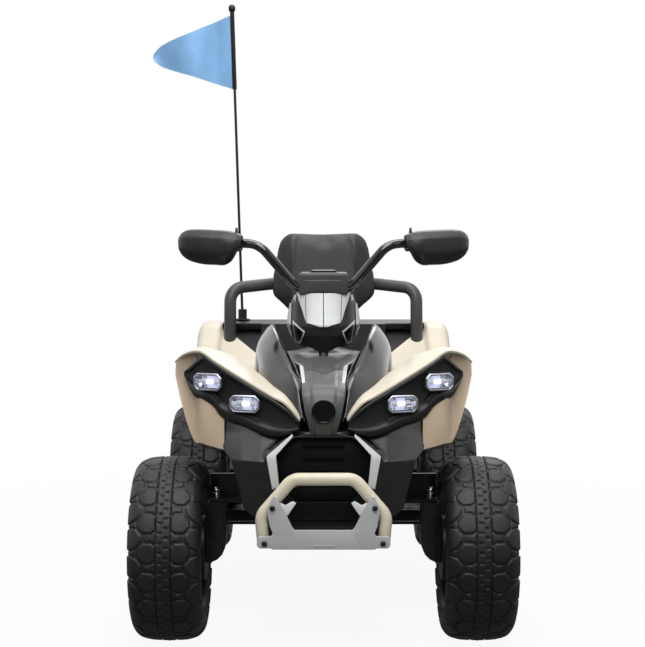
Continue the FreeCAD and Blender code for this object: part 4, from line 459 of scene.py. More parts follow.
def turned_loops(profile, start, way, sides=40):
    """The loops of a profile of (distance along, radius) turned about a line."""
    way = unit(np.asarray(way, float))
    u = unit(np.cross(way, (0.2, 0.93, 0.31)))
    v = np.cross(way, u)
    turn = around(sides)[None, :, None]
    profile = np.asarray(profile, float)
    return (np.asarray(start, float) + profile[:, 0, None, None] * way
            + profile[:, 1, None, None] * (np.cos(turn) * u + np.sin(turn) * v))


def turned(profile, start, way, sides=40):
    """A turned profile, closed at both ends."""
    return rings(turned_loops(profile, start, way, sides))


def slab(outline, low, high, axis=1):
    """A flat outline carried from one level to another along an axis."""
    outline = np.asarray(outline, float)
    return rings([np.insert(outline, axis, level, axis=1) for level in (low, high)])


def pad(outline, start, across, up, low, high):
    """A flat outline in the plane of two directions, carried between two levels along their cross product."""
    across, up = unit(np.array(across, float)), unit(np.array(up, float))
    flat = np.asarray(outline, float)
    base = np.array(start, float) + flat[:, :1] * across + flat[:, 1:] * up
    return rings([base + np.cross(across, up) * level for level in (low, high)])


def mirrored_outline(half):
    """A half outline given from the middle out and back, made whole across X = 0."""
    return half + [(-x, z) for x, z in reversed(half) if x]


# Meshes, and pieces on the frame's bodies

body_of = {node: body for body, nodes in frame["record"]["behaviour"]["bodies"].items() for node in nodes}
slot_of = {row["node"]: row["material_slot"] for row in frame["record"]["subparts"]}


def mesh_of(name, points, faces):
    """A mesh in metres from points in millimetres, with its faces turned outward."""
    mesh = bpy.data.meshes.new(name)
    corners = (np.asarray(points, float).reshape(-1, 3) * MM).tolist()
    mesh.from_pydata(corners, [], [list(map(int, face)) for face in faces])
    work = bmesh.new()
    work.from_mesh(mesh)
    bmesh.ops.remove_doubles(work, verts=work.verts, dist=2e-6)
    bmesh.ops.dissolve_degenerate(work, edges=work.edges, dist=1e-6)
    bmesh.ops.recalc_face_normals(work, faces=work.faces)
    work.to_mesh(mesh)
    work.free()
    return mesh


def linked(name, data):
    """An object for a mesh, light or camera, put into the scene."""
    made = bpy.data.objects.new(name, data)
    bpy.context.scene.collection.objects.link(made)
    return made


def bake(made):
    """Replaces an object's mesh by the result of its modifiers."""
    graph = bpy.context.evaluated_depsgraph_get()
    result = bpy.data.meshes.new_from_object(made.evaluated_get(graph))
    made.modifiers.clear()
    made.data = result


def points_of(made):
    """The points of an object's mesh, in metres."""
    flat = np.empty(len(made.data.vertices) * 3)
    made.data.vertices.foreach_get("co", flat)
    return flat.reshape(-1, 3)


def keep_values(made, name, values):
    """Keeps one value for each point of an object's mesh, for its material."""
    kept = made.data.attributes.new(name, "FLOAT", "POINT")
    kept.data.foreach_set("value", np.asarray(values, np.float32).ravel())


BEVEL_ANGLE, DRESS_ANGLE, SHARP_ANGLE = 32.0, 30.0, 40


def adopt(name, mesh, body, material, replaces, bevel, segments=2, angle=BEVEL_ANGLE):
    """Makes the object for a finished mesh: smooth by angle, bevelled edges, material and body."""
    made = linked(name, mesh)
    if bevel:
        cut = made.modifiers.new("edges", "BEVEL")
        cut.width = bevel * MM
        cut.segments = segments
        cut.limit_method = "ANGLE"
        cut.angle_limit = math.radians(angle)
        cut.use_clamp_overlap = True
        bake(made)
    mesh = made.data
    mesh.shade_smooth()
    mesh.set_sharp_from_angle(angle=math.radians(SHARP_ANGLE))
    mesh.materials.clear()
    mesh.materials.append(MATERIALS[material])
    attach(made, body)
    if replaces:
        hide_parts(*replaces)
    return made


def piece(name, parts, body, material, replaces=(), bevel=0.0, segments=2):
    """Joins closed parts into one object that rides on a body."""
    points, faces, start = [], [], 0
    for part_points, part_faces in parts:
        flat = np.asarray(part_points, float).reshape(-1, 3)
        points.append(flat)
        faces.extend([[int(i) + start for i in face] for face in part_faces])
        start += len(flat)
    mesh = mesh_of(name, np.concatenate(points), faces)
    return adopt(name, mesh, body, material, replaces, bevel, segments)


def made_for(node, parts, material=None, bevel=0.0, segments=2):
    """A piece that stands for a CAD node, on its body and with its slot."""
    slot = slot_of[node]
    material = material or FINISH_OF_SLOT[slot]
    return piece(f"{node}.shape", parts, body_of[node], material, (node,), bevel, segments)


def beside(node, name, parts, material, bevel=0.0):
    """A further piece on a CAD node's body."""
    return piece(name, parts, body_of[node], material, (), bevel)


def both_hands(name, parts, material, bevel):
    """The left-hand piece and its mirror image on the right."""
    for hand, side in hands(parts):
        made_for(f"{name}_{hand}", side, material, bevel)


def dressed(node, material, bevel):
    """A merged copy of a CAD node with its flat faces joined and its edges rounded, in the node's place."""
    source = frame["nodes"][node]
    mesh = source.data.copy()
    work = bmesh.new()
    work.from_mesh(mesh)
    work.transform(source.matrix_world)
    bmesh.ops.remove_doubles(work, verts=work.verts, dist=1e-5)
    bmesh.ops.dissolve_limit(work, angle_limit=math.radians(2.0), verts=work.verts, edges=work.edges)
    work.to_mesh(mesh)
    work.free()
    return adopt(f"{node}.dress", mesh, body_of[node], material, (node,), bevel,
                 angle=DRESS_ANGLE)


# Wheels

AXLE_Z, WHEEL_X, WHEEL_Y = 165.0, 273.0, 360.0
TYRE_RADIUS, TYRE_LUGS = 165, 20
TREAD_HIGH, RIB_HIGH = 2.5, 0.9
TYRE_HALF = np.array([(37, 93), (49, 94), (56.5, 100), (60.6, 113), (61.6, 129), (59, 143), (51.5, 152.5),
                      (38, 158.2), (18, 160.8), (0, 161.3)])


def tyre(node, x0, y0):
    """A profile of bead, bulged side and crown turned about the axle.

    Its lift along the normal is the largest of the lug, shoulder block and centre band masks. A mask is the
    half length allowed at that place across, less the distance round from the block's middle.
    """
    profile = smooth_along(np.concatenate([TYRE_HALF * (-1, 1), TYRE_HALF[-2::-1]]), 123)
    steps = np.linalg.norm(np.diff(profile, axis=0), axis=1)
    arc = np.concatenate([[0], np.cumsum(steps)])
    across = np.abs(arc - arc[-1] / 2)[None, :]
    side = np.where(profile[:, 0] > 0, 1.0, 0.0)[None, :]
    turn = around(640)[:, None]
    pitch = 2 * math.pi * TYRE_RADIUS / TYRE_LUGS
    round_way = turn * TYRE_RADIUS
    lug_off = np.abs((round_way % pitch) - pitch / 2)
    gap_off = np.abs(((round_way + pitch / 2) % pitch) - pitch / 2)

    def mask(places, halves, off, soft):
        return rise(np.interp(across, places, halves) - off, soft)

    lug = mask([14, 15, 21, 35, 43.5, 44.5], [-4, 13, 17.4, 17.4, 6, -4], lug_off, 1.8)
    notch = mask([14, 15, 20, 31, 32], [-4, 9.5, 5.6, 4.6, -4], gap_off, 1.6)
    block = mask([37, 38.5, 47, 62, 76, 77], [-4, 6, 17, 22.0, 19.5, -4], gap_off, 1.8)
    spur = mask([47.5, 48.5, 62, 68, 69], [-4, 6.5, 2.6, 1.8, -4], lug_off, 1.6)
    slot_way = (round_way + side * pitch / 6) % (pitch / 3)
    slot = rise(2.4 - np.abs(slot_way - pitch / 6), 1.2) * rise(across - 1.6, 1.0) * rise(9.0 - across, 1.2)
    band = rise(12.4 - across, 2.2) * (1 - slot)
    raised = np.maximum.reduce([lug, notch * 0.8, block, spur * 0.75, band * 0.92])
    seam = rise(1.1 - across, 0.8) * 0.7
    radius = profile[None, :, 1]
    ribs = rise(1.6 - np.abs(radius - 106), 1.4) + rise(1.6 - np.abs(radius - 119), 1.4)
    bars = rise(3.5 - np.abs((round_way % (pitch / 2)) - pitch / 4), 1.5)
    bars = bars * rise(6 - np.abs(radius - 112.5), 2.0)
    lift = raised * TREAD_HIGH + seam + (ribs * RIB_HIGH + bars * RIB_HIGH) * rise(across - 80, 4)
    out_x, out_r = outward(profile).T
    r = radius + out_r * lift
    grid = xyz(x0 + (profile[:, 0] + out_x * lift), y0 + r * np.cos(turn), AXLE_Z + r * np.sin(turn))
    # The raised tread mask is kept on the tyre, and its material makes the raised tread paler than the
    # grooves.
    keep_values(made_for(node, [torus(grid)]), "raised_tread", raised)


for end, y0 in (("front", -WHEEL_Y), ("rear", WHEEL_Y)):
    for hand, x0 in (("left", WHEEL_X), ("right", -WHEEL_X)):
        tyre(f"{end}_tyre_{hand}", x0, y0)


# Bent tubes and the bumper

def bent_tube(half, bend, radius):
    """A tube along a bent line given from its left end to the middle, made whole across X = 0."""
    return [tube(bent_line(half + [(-x, y, z) for x, y, z in reversed(half)], bend), radius)]


HOOP_Y = -537.0
BAR_KNEE, BAR_END = np.array((122.0, -185.9, 706.0)), np.array((271.0, -135.9, 712.0))
made_for("bumper_hoop", bent_tube([(101, HOOP_Y, 213), (105, HOOP_Y, 259), (52, HOOP_Y, 321)], 26, 10.75))
made_for("grab_rail", bent_tube([(207, 298, 470), (207, 317, 595.6), (115, 366, 603.7)], 34, 13.5), "rail")
made_for("handlebar", bent_tube([BAR_END, BAR_KNEE, (48, -193.9, 620)], 46, 9.0), "tube_black")

PLATE_FRONT, PLATE_BACK = -552.1, -548.1
PLATE = [(86, 204.5), (88, 206.5), (107, 206.5), (111.5, 210.5), (111.5, 223.5), (108, 227.5), (88, 227.5),
         (85, 232), (90, 244), (95.2, 273.5), (84, 295), (80, 295), (66, 270.8), (52, 242), (48, 237.8)]
BAND = [(-60, 205.5), (60, 205.5), (48, 237.5), (-48, 237.5)]
STRIP = [(-18, 209.5), (18, 209.5), (18, 213), (-18, 213)]
HOOK = [(74, 268), (72, 283.5), (63.7, 278.7), (52.1, 285.7), (45.7, 282.8), (59.9, 261.3)]
BOLT_HEAD = [(0.2, 2.4), (0.0, 4.2), (-2.4, 4.8), (-4.0, 4.3), (-4.8, 2.9), (-3.9, 2.4), (-3.9, 0.5)]
made_for("bumper_plate", [slab(mirrored_outline(PLATE), PLATE_FRONT, PLATE_BACK)], "plate", 1.3, 3)
pressings = [slab(BAND, -552.9, -551.9), slab(STRIP, -553.9, -552.6)]
beside("bumper_plate", "bumper_plate.bar", pressings, "plate", 0.6)
beside("bumper_plate", "bumper_plate.hooks", pair([slab(HOOK, -548.2, -544.8)]), "trim", 0.8)
bolts = [turned(BOLT_HEAD, (x * way, PLATE_FRONT, z), (0, 1, 0), 24)
         for x, z in ((85.5, 275.0), (99.0, 215.0)) for way in (1, -1)]
made_for("bumper_bolts", bolts, "steel_dark")


# Front body panels

def panel(table, rows, ratio, rounds):
    """Rows keyed by one coordinate, each a list of pairs of the two others, as a grid eased across."""
    grid = np.array([[(key, a, b) for a, b in row] for key, row in table])
    return eased(smooth_along(grid, rows), 1, ratio, rounds)


WING = [
    (40, [(-484, 412), (-481, 416), (-477, 419), (-473, 421)]),
    (50, [(-482, 426), (-476, 430), (-469, 433), (-461, 434)]),
    (60, [(-480, 437), (-470, 441), (-457, 445), (-440, 446)]),
    (86, [(-471, 452), (-445, 458), (-405, 463), (-330, 455)]),
    (115, [(-460, 468), (-410, 476), (-320, 480), (-174, 424)]),
    (140, [(-450, 482), (-380, 493), (-275, 491), (-173, 415)]),
    (165, [(-440, 496), (-350, 511), (-240, 500), (-172, 408)]),
    (190, [(-430, 511), (-338, 522), (-237, 503), (-171, 406)]),
    (212, [(-419, 525), (-330, 527), (-234, 504), (-170, 405)]),
    (232, [(-398, 523), (-318, 524), (-230, 502), (-170, 403)]),
    (252, [(-370, 513), (-302, 514), (-222, 494), (-170, 401)]),
    (268, [(-335, 498), (-280, 496), (-215, 478), (-172, 400)]),
]
SKIRT = [
    (172, [(-436, 440), (-444, 418), (-449, 386), (-452, 357)]),
    (210, [(-419, 462), (-430, 442), (-440, 402), (-441, 366)]),
    (228, [(-380, 514), (-386, 470), (-402, 432), (-425, 373)]),
    (240, [(-370, 513), (-372, 482), (-382, 450), (-405, 398)]),
    (252, [(-360, 510), (-362, 482), (-370, 455), (-384, 432)]),
    (265, [(-341, 497), (-346, 489), (-350, 483), (-352, 476)]),
]
FENDER_WALL = 3.6
wing = smooth_along(panel(WING, 96, 0.3, 2), 40, 1)
skirt = smooth_along(panel(SKIRT, 44, 0.3, 2), 28, 1)
both_hands("front_fender", [shell(wing, -FENDER_WALL)], "beige", 1.3)
# The skirts take the beige darkened as painted shade, the finish kept under the key "tan".
for hand, parts in hands([shell(skirt, FENDER_WALL)]):
    beside(f"front_fender_{hand}", f"front_fender_{hand}.skirt", parts, "tan", 1.3)

HOOD = [(-482, 386, 22), (-497, 420, 30), (-490, 448, 35), (-425, 474, 39), (-340, 490, 44), (-285, 497, 66),
        (-220, 498, 80), (-150, 498, 80), (-92, 482, 62)]


def hood():
    """The crown line carried across by its half width, eased down at the sides.

    Lifts along the line's normal are a cambered middle, a folded chevron over the nose and a low turret
    where the column comes through.
    """
    line = smooth_along(HOOD, 96)
    y, z, half = line.T[:, :, None]
    out_y, out_z = outward(line[:, :2]).T[:, :, None]
    share = np.concatenate([[-1.0, -1.0], np.linspace(-0.985, 0.985, 33), [1.0, 1.0]])
    sink = np.concatenate([[9.0, 2.2], np.zeros(33), [2.2, 9.0]])
    x = half * share
    fold = y - (-418 + 1.35 * np.abs(x))
    crease = np.clip(2.4 - 0.16 * np.abs(fold), 0, None) + np.where(fold < 0, 0.9, 0.0) * np.exp(fold / 60)
    turret = 10.0 * rise(y + 229, 26) * rise(-122 - y, 40) * np.clip(1 - (x / 62) ** 2, 0, 1) ** 2
    nose = 1.6 * rise(0.62 - np.abs(share), 0.1) * rise(-300 - y, 60)
    lift = turret + 3.0 * (1 - share**4) + nose + crease * (1 - share**2) - sink
    made_for("hood", [shell(xyz(x, y + out_y * lift, z + out_z * lift), 2.6)], "hood", 0.9)


hood()

COWL = [
    (-480, [(32, 410), (35, 418), (41, 414), (44, 402)]),
    (-440, [(39, 470), (50, 476), (66, 456), (70, 440)]),
    (-385, [(42, 482), (64, 503), (96, 476), (101, 458)]),
    (-300, [(58, 497), (82, 546), (116, 508), (122, 468)]),
    (-220, [(81, 500), (91, 564), (126, 524), (130, 466)]),
    (-140, [(82, 500), (91, 552), (122, 514), (128, 458)]),
    (-92, [(64, 484), (80, 503), (112, 486), (118, 440)]),
]
cowl = panel(COWL, 84, 0.2, 4)[:, :, [1, 0, 2]]
both_hands("side_cowl", [shell(cowl, 3.2)], "gloss", 1.0)


# Headlight bezels: rows of (x, front y, lower edge, upper edge), and a section of (back, share up, drop)

BEZEL = [(42, -492, 398, 409), (60, -489, 388, 431), (86, -480, 382, 447), (115, -469, 389, 463),
         (140, -459, 400, 477), (165, -449, 405, 491), (180, -442.5, 414, 500.5), (190, -438, 429, 506.5),
         (203, -432, 437, 515), (209, -428, 438.5, 518.5), (215, -421, 440, 515), (229, -405, 444, 502),
         (247, -381, 478, 485)]
BEZEL_SECTION = [(26, 1.0, 0.0), (1.6, 1.0, 0.0), (0.0, 1.0, -1.8), (0.0, 1.0, -6.5), (7.0, 1.0, -10.5),
                 (7.4, 0.62, 0.0), (7.4, 0.33, 0.0), (1.0, 0.29, 0.0), (-4.5, 0.20, 0.0), (-5.2, 0.12, 0.0),
                 (-3.6, 0.05, 0.0), (0.5, 0.0, 0.0), (26, 0.0, 0.0)]
bezel_x, bezel_y, bezel_low, bezel_high = straight_along(eased(BEZEL, 0, 0.2, 2), 3).T


def bezel():
    """A section of rim, sunk face, ledge and lip carried along the bezel, smaller where it is narrow."""
    high = bezel_high - bezel_low
    size = np.minimum(1.0, high / 42)
    return rings(np.stack([xyz(bezel_x, bezel_y + back * size, bezel_low + high * up + drop * size)
                           for back, up, drop in BEZEL_SECTION], axis=1))


def bezel_at(x):
    """The bezel's front, lower edge and upper edge at one place across."""
    return [float(np.interp(x, bezel_x, line)) for line in (bezel_y, bezel_low, bezel_high)]


def ledge_ribs(start, end, count):
    """A comb of small upright ribs standing on the ledge under a lamp."""
    made = []
    for x in np.linspace(start, end, count):
        y, low, high = bezel_at(x)
        base, top = low + (high - low) * 0.21, low + (high - low) * 0.36
        rib = [(y + 6.6, base), (y - 4.6, base), (y - 0.8, top), (y + 6.6, top)]
        made.append(slab(rib, x - 0.9, x + 0.9, 0))
    return made


both_hands("headlight_bezel", [bezel()] + ledge_ribs(112, 164, 15) + ledge_ribs(180, 216, 11), "dark", 0.7)


# Lamps: rows of (forward, inset) for the case, lens and chip

LAMP_WIDE, LAMP_HIGH, LAMP_CORNER, CHIP_NARROW = 55, 30.5, 7.6, 0.42
LAMP_CASE = [(-7, 0), (7.6, 0), (9, 1.2), (9, 2.6), (7.4, 3.2), (6.4, 3.4), (3.2, 5.6), (2.4, 6.2),
             (-2.5, 9.6), (-3.2, 10.6)]
LAMP_LENS = [(3.8, 4.6), (5.9, 3.8), (6.9, 4.2), (7.5, 6.0), (7.8, 9.0)]
LAMP_CHIP = [(-3.0, 10.8), (-0.6, 11.0), (0.4, 12.0)]


def octagon(wide, high, corner):
    """Corners of a chamfered rectangle about its middle, given as (across, up)."""
    w, h, c = wide / 2, high / 2, corner
    return np.array([(w, h - c), (w - c, h), (c - w, h), (-w, h - c),
                     (-w, c - h), (c - w, -h), (w - c, -h), (w, c - h)])


def lamp(x, z, yaw):
    """Octagons of several sizes and depths round one lamp's axis: case with its bowl, lens and chip."""
    way = np.array([math.sin(yaw), -math.cos(yaw), 0])
    side = np.array([math.cos(yaw), math.sin(yaw), 0])
    middle = np.array([x, bezel_at(x)[0], z])

    def loops(rows, narrow=1.0):
        made = []
        for forward, inset in rows:
            corner = max(LAMP_CORNER - inset * 0.45, 2.2)
            flat = octagon(LAMP_WIDE - 2 * inset, LAMP_HIGH - 2 * inset, corner)
            made.append(middle + way * forward + flat[:, :1] * narrow * side + flat[:, 1:] * (0, 0, 1))
        return rings(made)

    return loops(LAMP_CASE), loops(LAMP_LENS), loops(LAMP_CHIP, CHIP_NARROW)


cases, lenses, chips = zip(lamp(198, 473.5, math.radians(25)), lamp(134, 438.5, math.radians(16)))
made_for("lamp_reflectors", pair(list(cases)), "reflector", 0.5)
made_for("lamp_lenses", pair(list(lenses)), "lens", 0.4)
beside("lamp_lenses", "lamp_chips", pair(list(chips)), "led")


# Nacelle: rows of (height, half width, front y), and the lower edge as (share out, height)

NACELLE = np.array([(506, 48, -250), (514, 51, -252.5), (519, 54, -254.6), (537, 62.5, -262.6),
                    (556, 68.7, -261), (575, 66, -245.4), (595, 62, -230.7), (606, 56.5, -223),
                    (614, 50, -217.6)])
NACELLE_LOW = np.array([(0, 506), (0.3, 510.5), (0.5, 516), (0.62, 517), (0.78, 515), (0.9, 514), (1.0, 521)])
NACELLE_TOP, NACELLE_BACK = 614, -177.4
# Bright panels: lift, wall, columns, and rows of (height, inner edge, outer edge)
NACELLE_PANELS = [
    (2.2, 2.6, 14, [(613.5, 0.6, 32.8), (600, 0.6, 32.6), (575, 0.6, 31.6), (560.5, 0.6, 31),
                    (554.5, 0.6, 7)]),
    (2.0, 2.4, 8, [(613.5, 34.0, 49), (600, 33.8, 45), (582, 33.0, 38.5), (564, 32.2, 33)]),
    (1.6, 2.0, 6, [(609, 50.6, 53.5), (603, 51.6, 56), (599, 51.5, 52.5)]),
    (2.0, 2.4, 8, [(594, 60.2, 61.4), (580, 60.6, 64.4), (566, 61.2, 66.4), (556, 61.4, 67.6),
                   (546, 60.6, 65), (530, 57.4, 59)]),
]
# Eyes: corners as (x, z), then loops of (share from the middle, lift) for the frame and the bowl
EYE = [(58.8, 565), (34.2, 545.5), (43.6, 520.5), (53, 520.5)]
EYE_FRAME = [(1.0, -1.0), (1.0, 2.4), (0.94, 3.0), (0.76, 2.6), (0.76, -0.6)]
EYE_BOWL = [(0.78, 0.9), (0.55, 0.3), (0.2, 0.1)]


def nacelle_front(x, z):
    """The nacelle's front: a keel in the middle, flanks swept back, and a brow at the widest row."""
    half = np.interp(z, NACELLE[:, 0], NACELLE[:, 1])
    front = np.interp(z, NACELLE[:, 0], NACELLE[:, 2])
    share = np.clip(np.abs(x) / half, 0, 1)
    return front + (NACELLE_BACK - front) * (0.10 * share + 0.16 * share**2 + 0.74 * share**6)


def draped(rows, lift, wall, cols):
    """Rows of (height, one side, other side) filled across and laid on the nacelle's front."""
    z, start, end = straight_along(rows, 5).T[:, :, None]
    x = start + (end - start) * np.linspace(0, 1, cols)[None, :]
    return shell(xyz(x, nacelle_front(x, z) - lift, z), wall)


def eye(way):
    """Loops of the eye's outline, drawn in to its middle and laid on the front: a frame and its bowl."""
    corners = np.array(EYE) * (way, 1)
    middle = corners.mean(axis=0)
    sides = straight_along(np.concatenate([corners, corners[:1]]), 6)[:-1]

    def loops(rows):
        flats = [(middle + (sides - middle) * share, lift) for share, lift in rows]
        return [lifted(flat, nacelle_front(*flat.T) - lift) for flat, lift in flats]

    bowl = loops(EYE_BOWL)
    return torus(loops(EYE_FRAME)), rings([bowl[0] + (0, 2.0, 0)] + bowl)


def nacelle():
    """The black shell under the bright panels, as the front surface with a wall behind it."""
    share = np.sin(np.linspace(-1, 1, 61) * math.pi / 2)[None, :]
    low = np.interp(np.abs(share), NACELLE_LOW[:, 0], NACELLE_LOW[:, 1])
    z = low + (NACELLE_TOP - low) * np.linspace(0, 1, 44)[:, None]
    x = np.interp(z, NACELLE[:, 0], NACELLE[:, 1]) * share
    made_for("nacelle", [shell(xyz(x, nacelle_front(x, z), z), 3.0)], "dark", 0.8)
    bright = [draped(np.array(rows) * (1, way, way), lift, wall * way, cols)
              for way in (1, -1) for lift, wall, cols, rows in NACELLE_PANELS]
    beside("nacelle", "nacelle.panels", bright, "panel", 0.7)
    frames, bowls = zip(eye(1), eye(-1))
    beside("nacelle", "nacelle.eye_frames", frames, "silver")
    beside("nacelle", "nacelle.eyes", bowls, "gloss")


nacelle()


# Dash box, hand guards and grips

def rounded_box(low, high, corner):
    """Superellipse rings between two corners of a box, drawn in over a quarter circle at the ends."""
    low, high = np.asarray(low, float), np.asarray(high, float)
    middle, half = (low + high) / 2, (high - low) / 2
    turn = around(56)
    power = 2.0 / (2.0 + 14.0 * max(0.0, 1 - corner / half[:2].min()) ** 2)
    ends = [(math.sin(t * math.pi / 2), math.cos(t * math.pi / 2)) for t in np.linspace(0, 1, 6)]
    rows = [(low[2] + corner * (1 - up), corner * (1 - out)) for out, up in ends]
    rows += [(high[2] - corner * (1 - up), corner * (1 - out)) for out, up in reversed(ends)]
    return rings([xyz(middle[0] + bulge(np.cos(turn), power) * (half[0] - inset),
                      middle[1] + bulge(np.sin(turn), power) * (half[1] - inset), z) for z, inset in rows])


dash_box = rounded_box((-46, -219.5, 611), (46, -168, 653), 6)
dash_face = rounded_box((-37, -221.2, 617), (37, -214, 640), 2.5)
made_for("dash_panel", [dash_box, dash_face], "grey")
handle = bent_line([(-26, -196, 648), (-22, -200, 655.5), (22, -200, 655.5), (26, -196, 648)], 5, 6)
beside("dash_panel", "dash_panel.clip", [tube(handle, 2.6, 14)], "gloss")

# The guard's section as shares of its reach and height, and rows of (share out, above, below, reach)
GUARD_REACH, GUARD_HIGH = 50, 66
GUARD_SECTION = [(0.20, 0.30), (-0.10, 0.40), (-0.48, 0.36), (-0.90, 0.14), (-0.98, -0.36), (-0.66, -0.64),
                 (-0.24, -0.66)]
GUARD_ROWS = [(0.572, 0.62, 0.06, 0.62), (0.60, 0.74, 0.36, 0.78), (0.64, 0.84, 0.78, 0.92),
              (0.68, 0.88, 0.96, 1.0), (0.76, 0.89, 1.0, 1.02), (0.84, 0.89, 1.0, 1.02),
              (0.91, 0.86, 0.93, 0.98), (0.96, 0.78, 0.82, 0.92), (1.0, 0.56, 0.62, 0.78),
              (1.02, 0.30, 0.42, 0.6)]


def guard():
    """The section round the grip carried out along it, by each row's height above, depth below and reach."""
    rows = []
    for share, above, below, reach in GUARD_ROWS:
        x = BAR_END[0] * share
        middle = BAR_KNEE + (BAR_END - BAR_KNEE) * (x - BAR_KNEE[0]) / (BAR_END[0] - BAR_KNEE[0])
        rows.append([(x, middle[1] + GUARD_REACH * a * reach,
                      middle[2] + GUARD_HIGH * b * (above if b > 0 else below)) for a, b in GUARD_SECTION])
    grid = eased(smooth_along(rows, 56), 1, 0.16, 4)
    close = grid[-1].mean(axis=0)
    end_rows = [close + (grid[-1] - close) * share + (1.6 * (1 - share), 0, 0) for share in (0.8, 0.5, 0.2)]
    return [shell(np.concatenate([grid, end_rows]), 3.0)]


both_hands("hand_guard", guard(), "dark", 1.0)


def grip():
    """Grooves, an inner flange and a rounded end on a profile turned about the bar's outer run."""
    way = unit(BAR_END - BAR_KNEE)
    along = np.linspace(6, 98, 140)
    ribs = 13.4 + 0.9 * rise(np.sin(along * 2 * math.pi / 6.2) + 0.25, 0.5)
    profile = [(0, 9.4), (0, 14.6), (1.2, 15.2), (3.4, 15.2), (4.6, 13.4)] + list(zip(along, ribs))
    profile += [(100, 14.2), (102.2, 13.2), (103, 11.4), (103, 9.4)]
    return [torus(turned_loops(profile, BAR_END - way * 103.2, way))]


made_for("grips", pair(grip()), "grip")


# Rear fenders: the side line as (y, z), and the edge as (share out, drop)

REAR_LINE = [(190, 334), (205, 438), (290, 480), (329, 505), (450, 505), (499.5, 463), (532, 398)]
REAR_EDGE = [(0.0, 0.0), (0.30, 0.0), (0.60, 0.0), (0.66, -13.0), (0.88, -13.0), (0.965, -6.0), (1.0, 8.0),
             (1.0, 25.0)]
REAR_INNER, REAR_FLAT, REAR_WIDE = 138.3, 223.5, 142


def rear_fender():
    """The side line of apron, deck and tail drop carried out to its edge, with a raised band and rolled lip.

    The deck starts further out where the line is high, and a black sheet fills what that leaves to the body.
    """
    line = eased(REAR_LINE, 0, 0.2, 4)
    y, z = line.T[:, :, None]
    out_y, out_z = outward(line).T[:, :, None]
    share, drop = eased(REAR_EDGE, 0, 0.22, 3).T
    across = REAR_INNER + REAR_WIDE * share
    inner = REAR_INNER + 80 * np.clip((z - 452) / 52, 0, 1)
    x = across + (inner - REAR_INNER) * np.clip((REAR_FLAT - across) / (REAR_FLAT - REAR_INNER), 0, 1)
    grid = xyz(x, y - out_y * drop, z - out_z * drop)
    high = line[:, 1] > 446
    fill = REAR_INNER + (inner[high] + 4 - REAR_INNER) * np.linspace(0, 1, 12)
    under = xyz(fill, (y - out_y * 3.7)[high], (z - out_z * 3.7)[high])
    return [shell(grid, FENDER_WALL)], [shell(under, 3.0)]


fender, wing_fill = rear_fender()
both_hands("rear_fender", fender, "beige", 1.2)
for hand, parts in hands(wing_fill):
    beside("rear_body", f"rear_body.wing_{hand}", parts, "black", 0.8)


# Seat and backrest: rows of (share along, half width, height or depth) as shares of the largest

SEAT_ROWS = [(0.0, 0.58, 1.3), (0.17, 0.69, 0.95), (0.43, 0.85, 0.82), (0.75, 0.98, 0.95), (1.0, 0.96, 1.25)]
SEAT_FOOT, SEAT_FRONT, SEAT_LONG, SEAT_HALF, SEAT_HIGH = 400.3, -89, 386, 122, 58
BACK_ROWS = [(0.0, 0.60, 0.85), (0.11, 0.67, 0.92), (0.29, 0.985, 1.0), (0.36, 1.0, 1.0), (0.62, 0.945, 1.0),
             (0.88, 0.86, 0.9), (1.0, 0.74, 0.7)]
BACK_FOOT, BACK_HIGH, BACK_HALF, BACK_Y, BACK_DEEP = 519.5, 203, 120, 329, 20
VOXEL, PRESSURE, STIFFNESS, SWELL_REACH, FOAM_FILL = 5, 4.0, 25, 6, 0.85


def inflated(name, mesh, reach, frames=20):
    """Swells a closed mesh with air in a cloth simulation, and holds every point near its start."""
    made = linked(name, mesh)
    grid = made.modifiers.new("even", "REMESH")
    grid.mode = "VOXEL"
    grid.voxel_size = VOXEL * MM
    bake(made)
    start = points_of(made)
    swell = made.modifiers.new("air", "CLOTH")
    swell.settings.use_pressure = True
    swell.settings.uniform_pressure_force = PRESSURE
    swell.settings.effector_weights.gravity = 0.0
    swell.settings.tension_stiffness = STIFFNESS
    swell.settings.compression_stiffness = STIFFNESS
    swell.point_cache.frame_start = 1
    swell.point_cache.frame_end = frames
    for step in range(1, frames + 1):
        bpy.context.scene.frame_set(step)
    bake(made)
    bpy.context.scene.frame_set(1)
    move = points_of(made) - start
    size = np.linalg.norm(move, axis=1, keepdims=True)
    start = start + move * np.minimum(1.0, reach * MM / np.maximum(size, 1e-9))
    made.data.vertices.foreach_set("co", start.ravel())
    even = made.modifiers.new("settle", "SMOOTH")
    even.factor = 0.5
    even.iterations = 18
    bake(made)
    points = points_of(made) / MM
    faces = [list(face.vertices) for face in made.data.polygons]
    bpy.data.objects.remove(made)
    return points, faces


def soft_piece(node, parts, material, reach, seams):
    """A stuffed piece in a node's place: swollen, then creased along its seams and smoothed."""
    mesh = mesh_of(f"{node}.core", *parts)
    points, faces = inflated(f"{node}.core", mesh, reach)
    made = made_for(node, [(seams(points), faces)], material)
    smooth = made.modifiers.new("smooth", "SUBSURF")
    smooth.levels = 1
    smooth.render_levels = 1
    bake(made)
    made.data.shade_smooth()
    return made


def seat():
    """Superellipse rings along the bike, crowned on top and flat below, with a dished middle."""
    c, s = np.cos(around(72)), np.sin(around(72))
    loops = []
    for share, half, high in smooth_along(SEAT_ROWS, 60):
        end = math.sqrt(max(0.0, 1 - (2 * share - 1) ** 12)) * 0.985 + 0.015
        tall = SEAT_HIGH * high
        crown = bulge(s, 0.6) * tall * 0.54 * (0.55 + 0.45 * end)
        z = SEAT_FOOT + tall * 0.46 + np.where(s > 0, crown, bulge(s, 0.35) * tall * 0.46)
        loops.append(xyz(bulge(c, 0.55) * (SEAT_HALF * half * end), SEAT_FRONT + SEAT_LONG * share, z))
    return rings(loops)


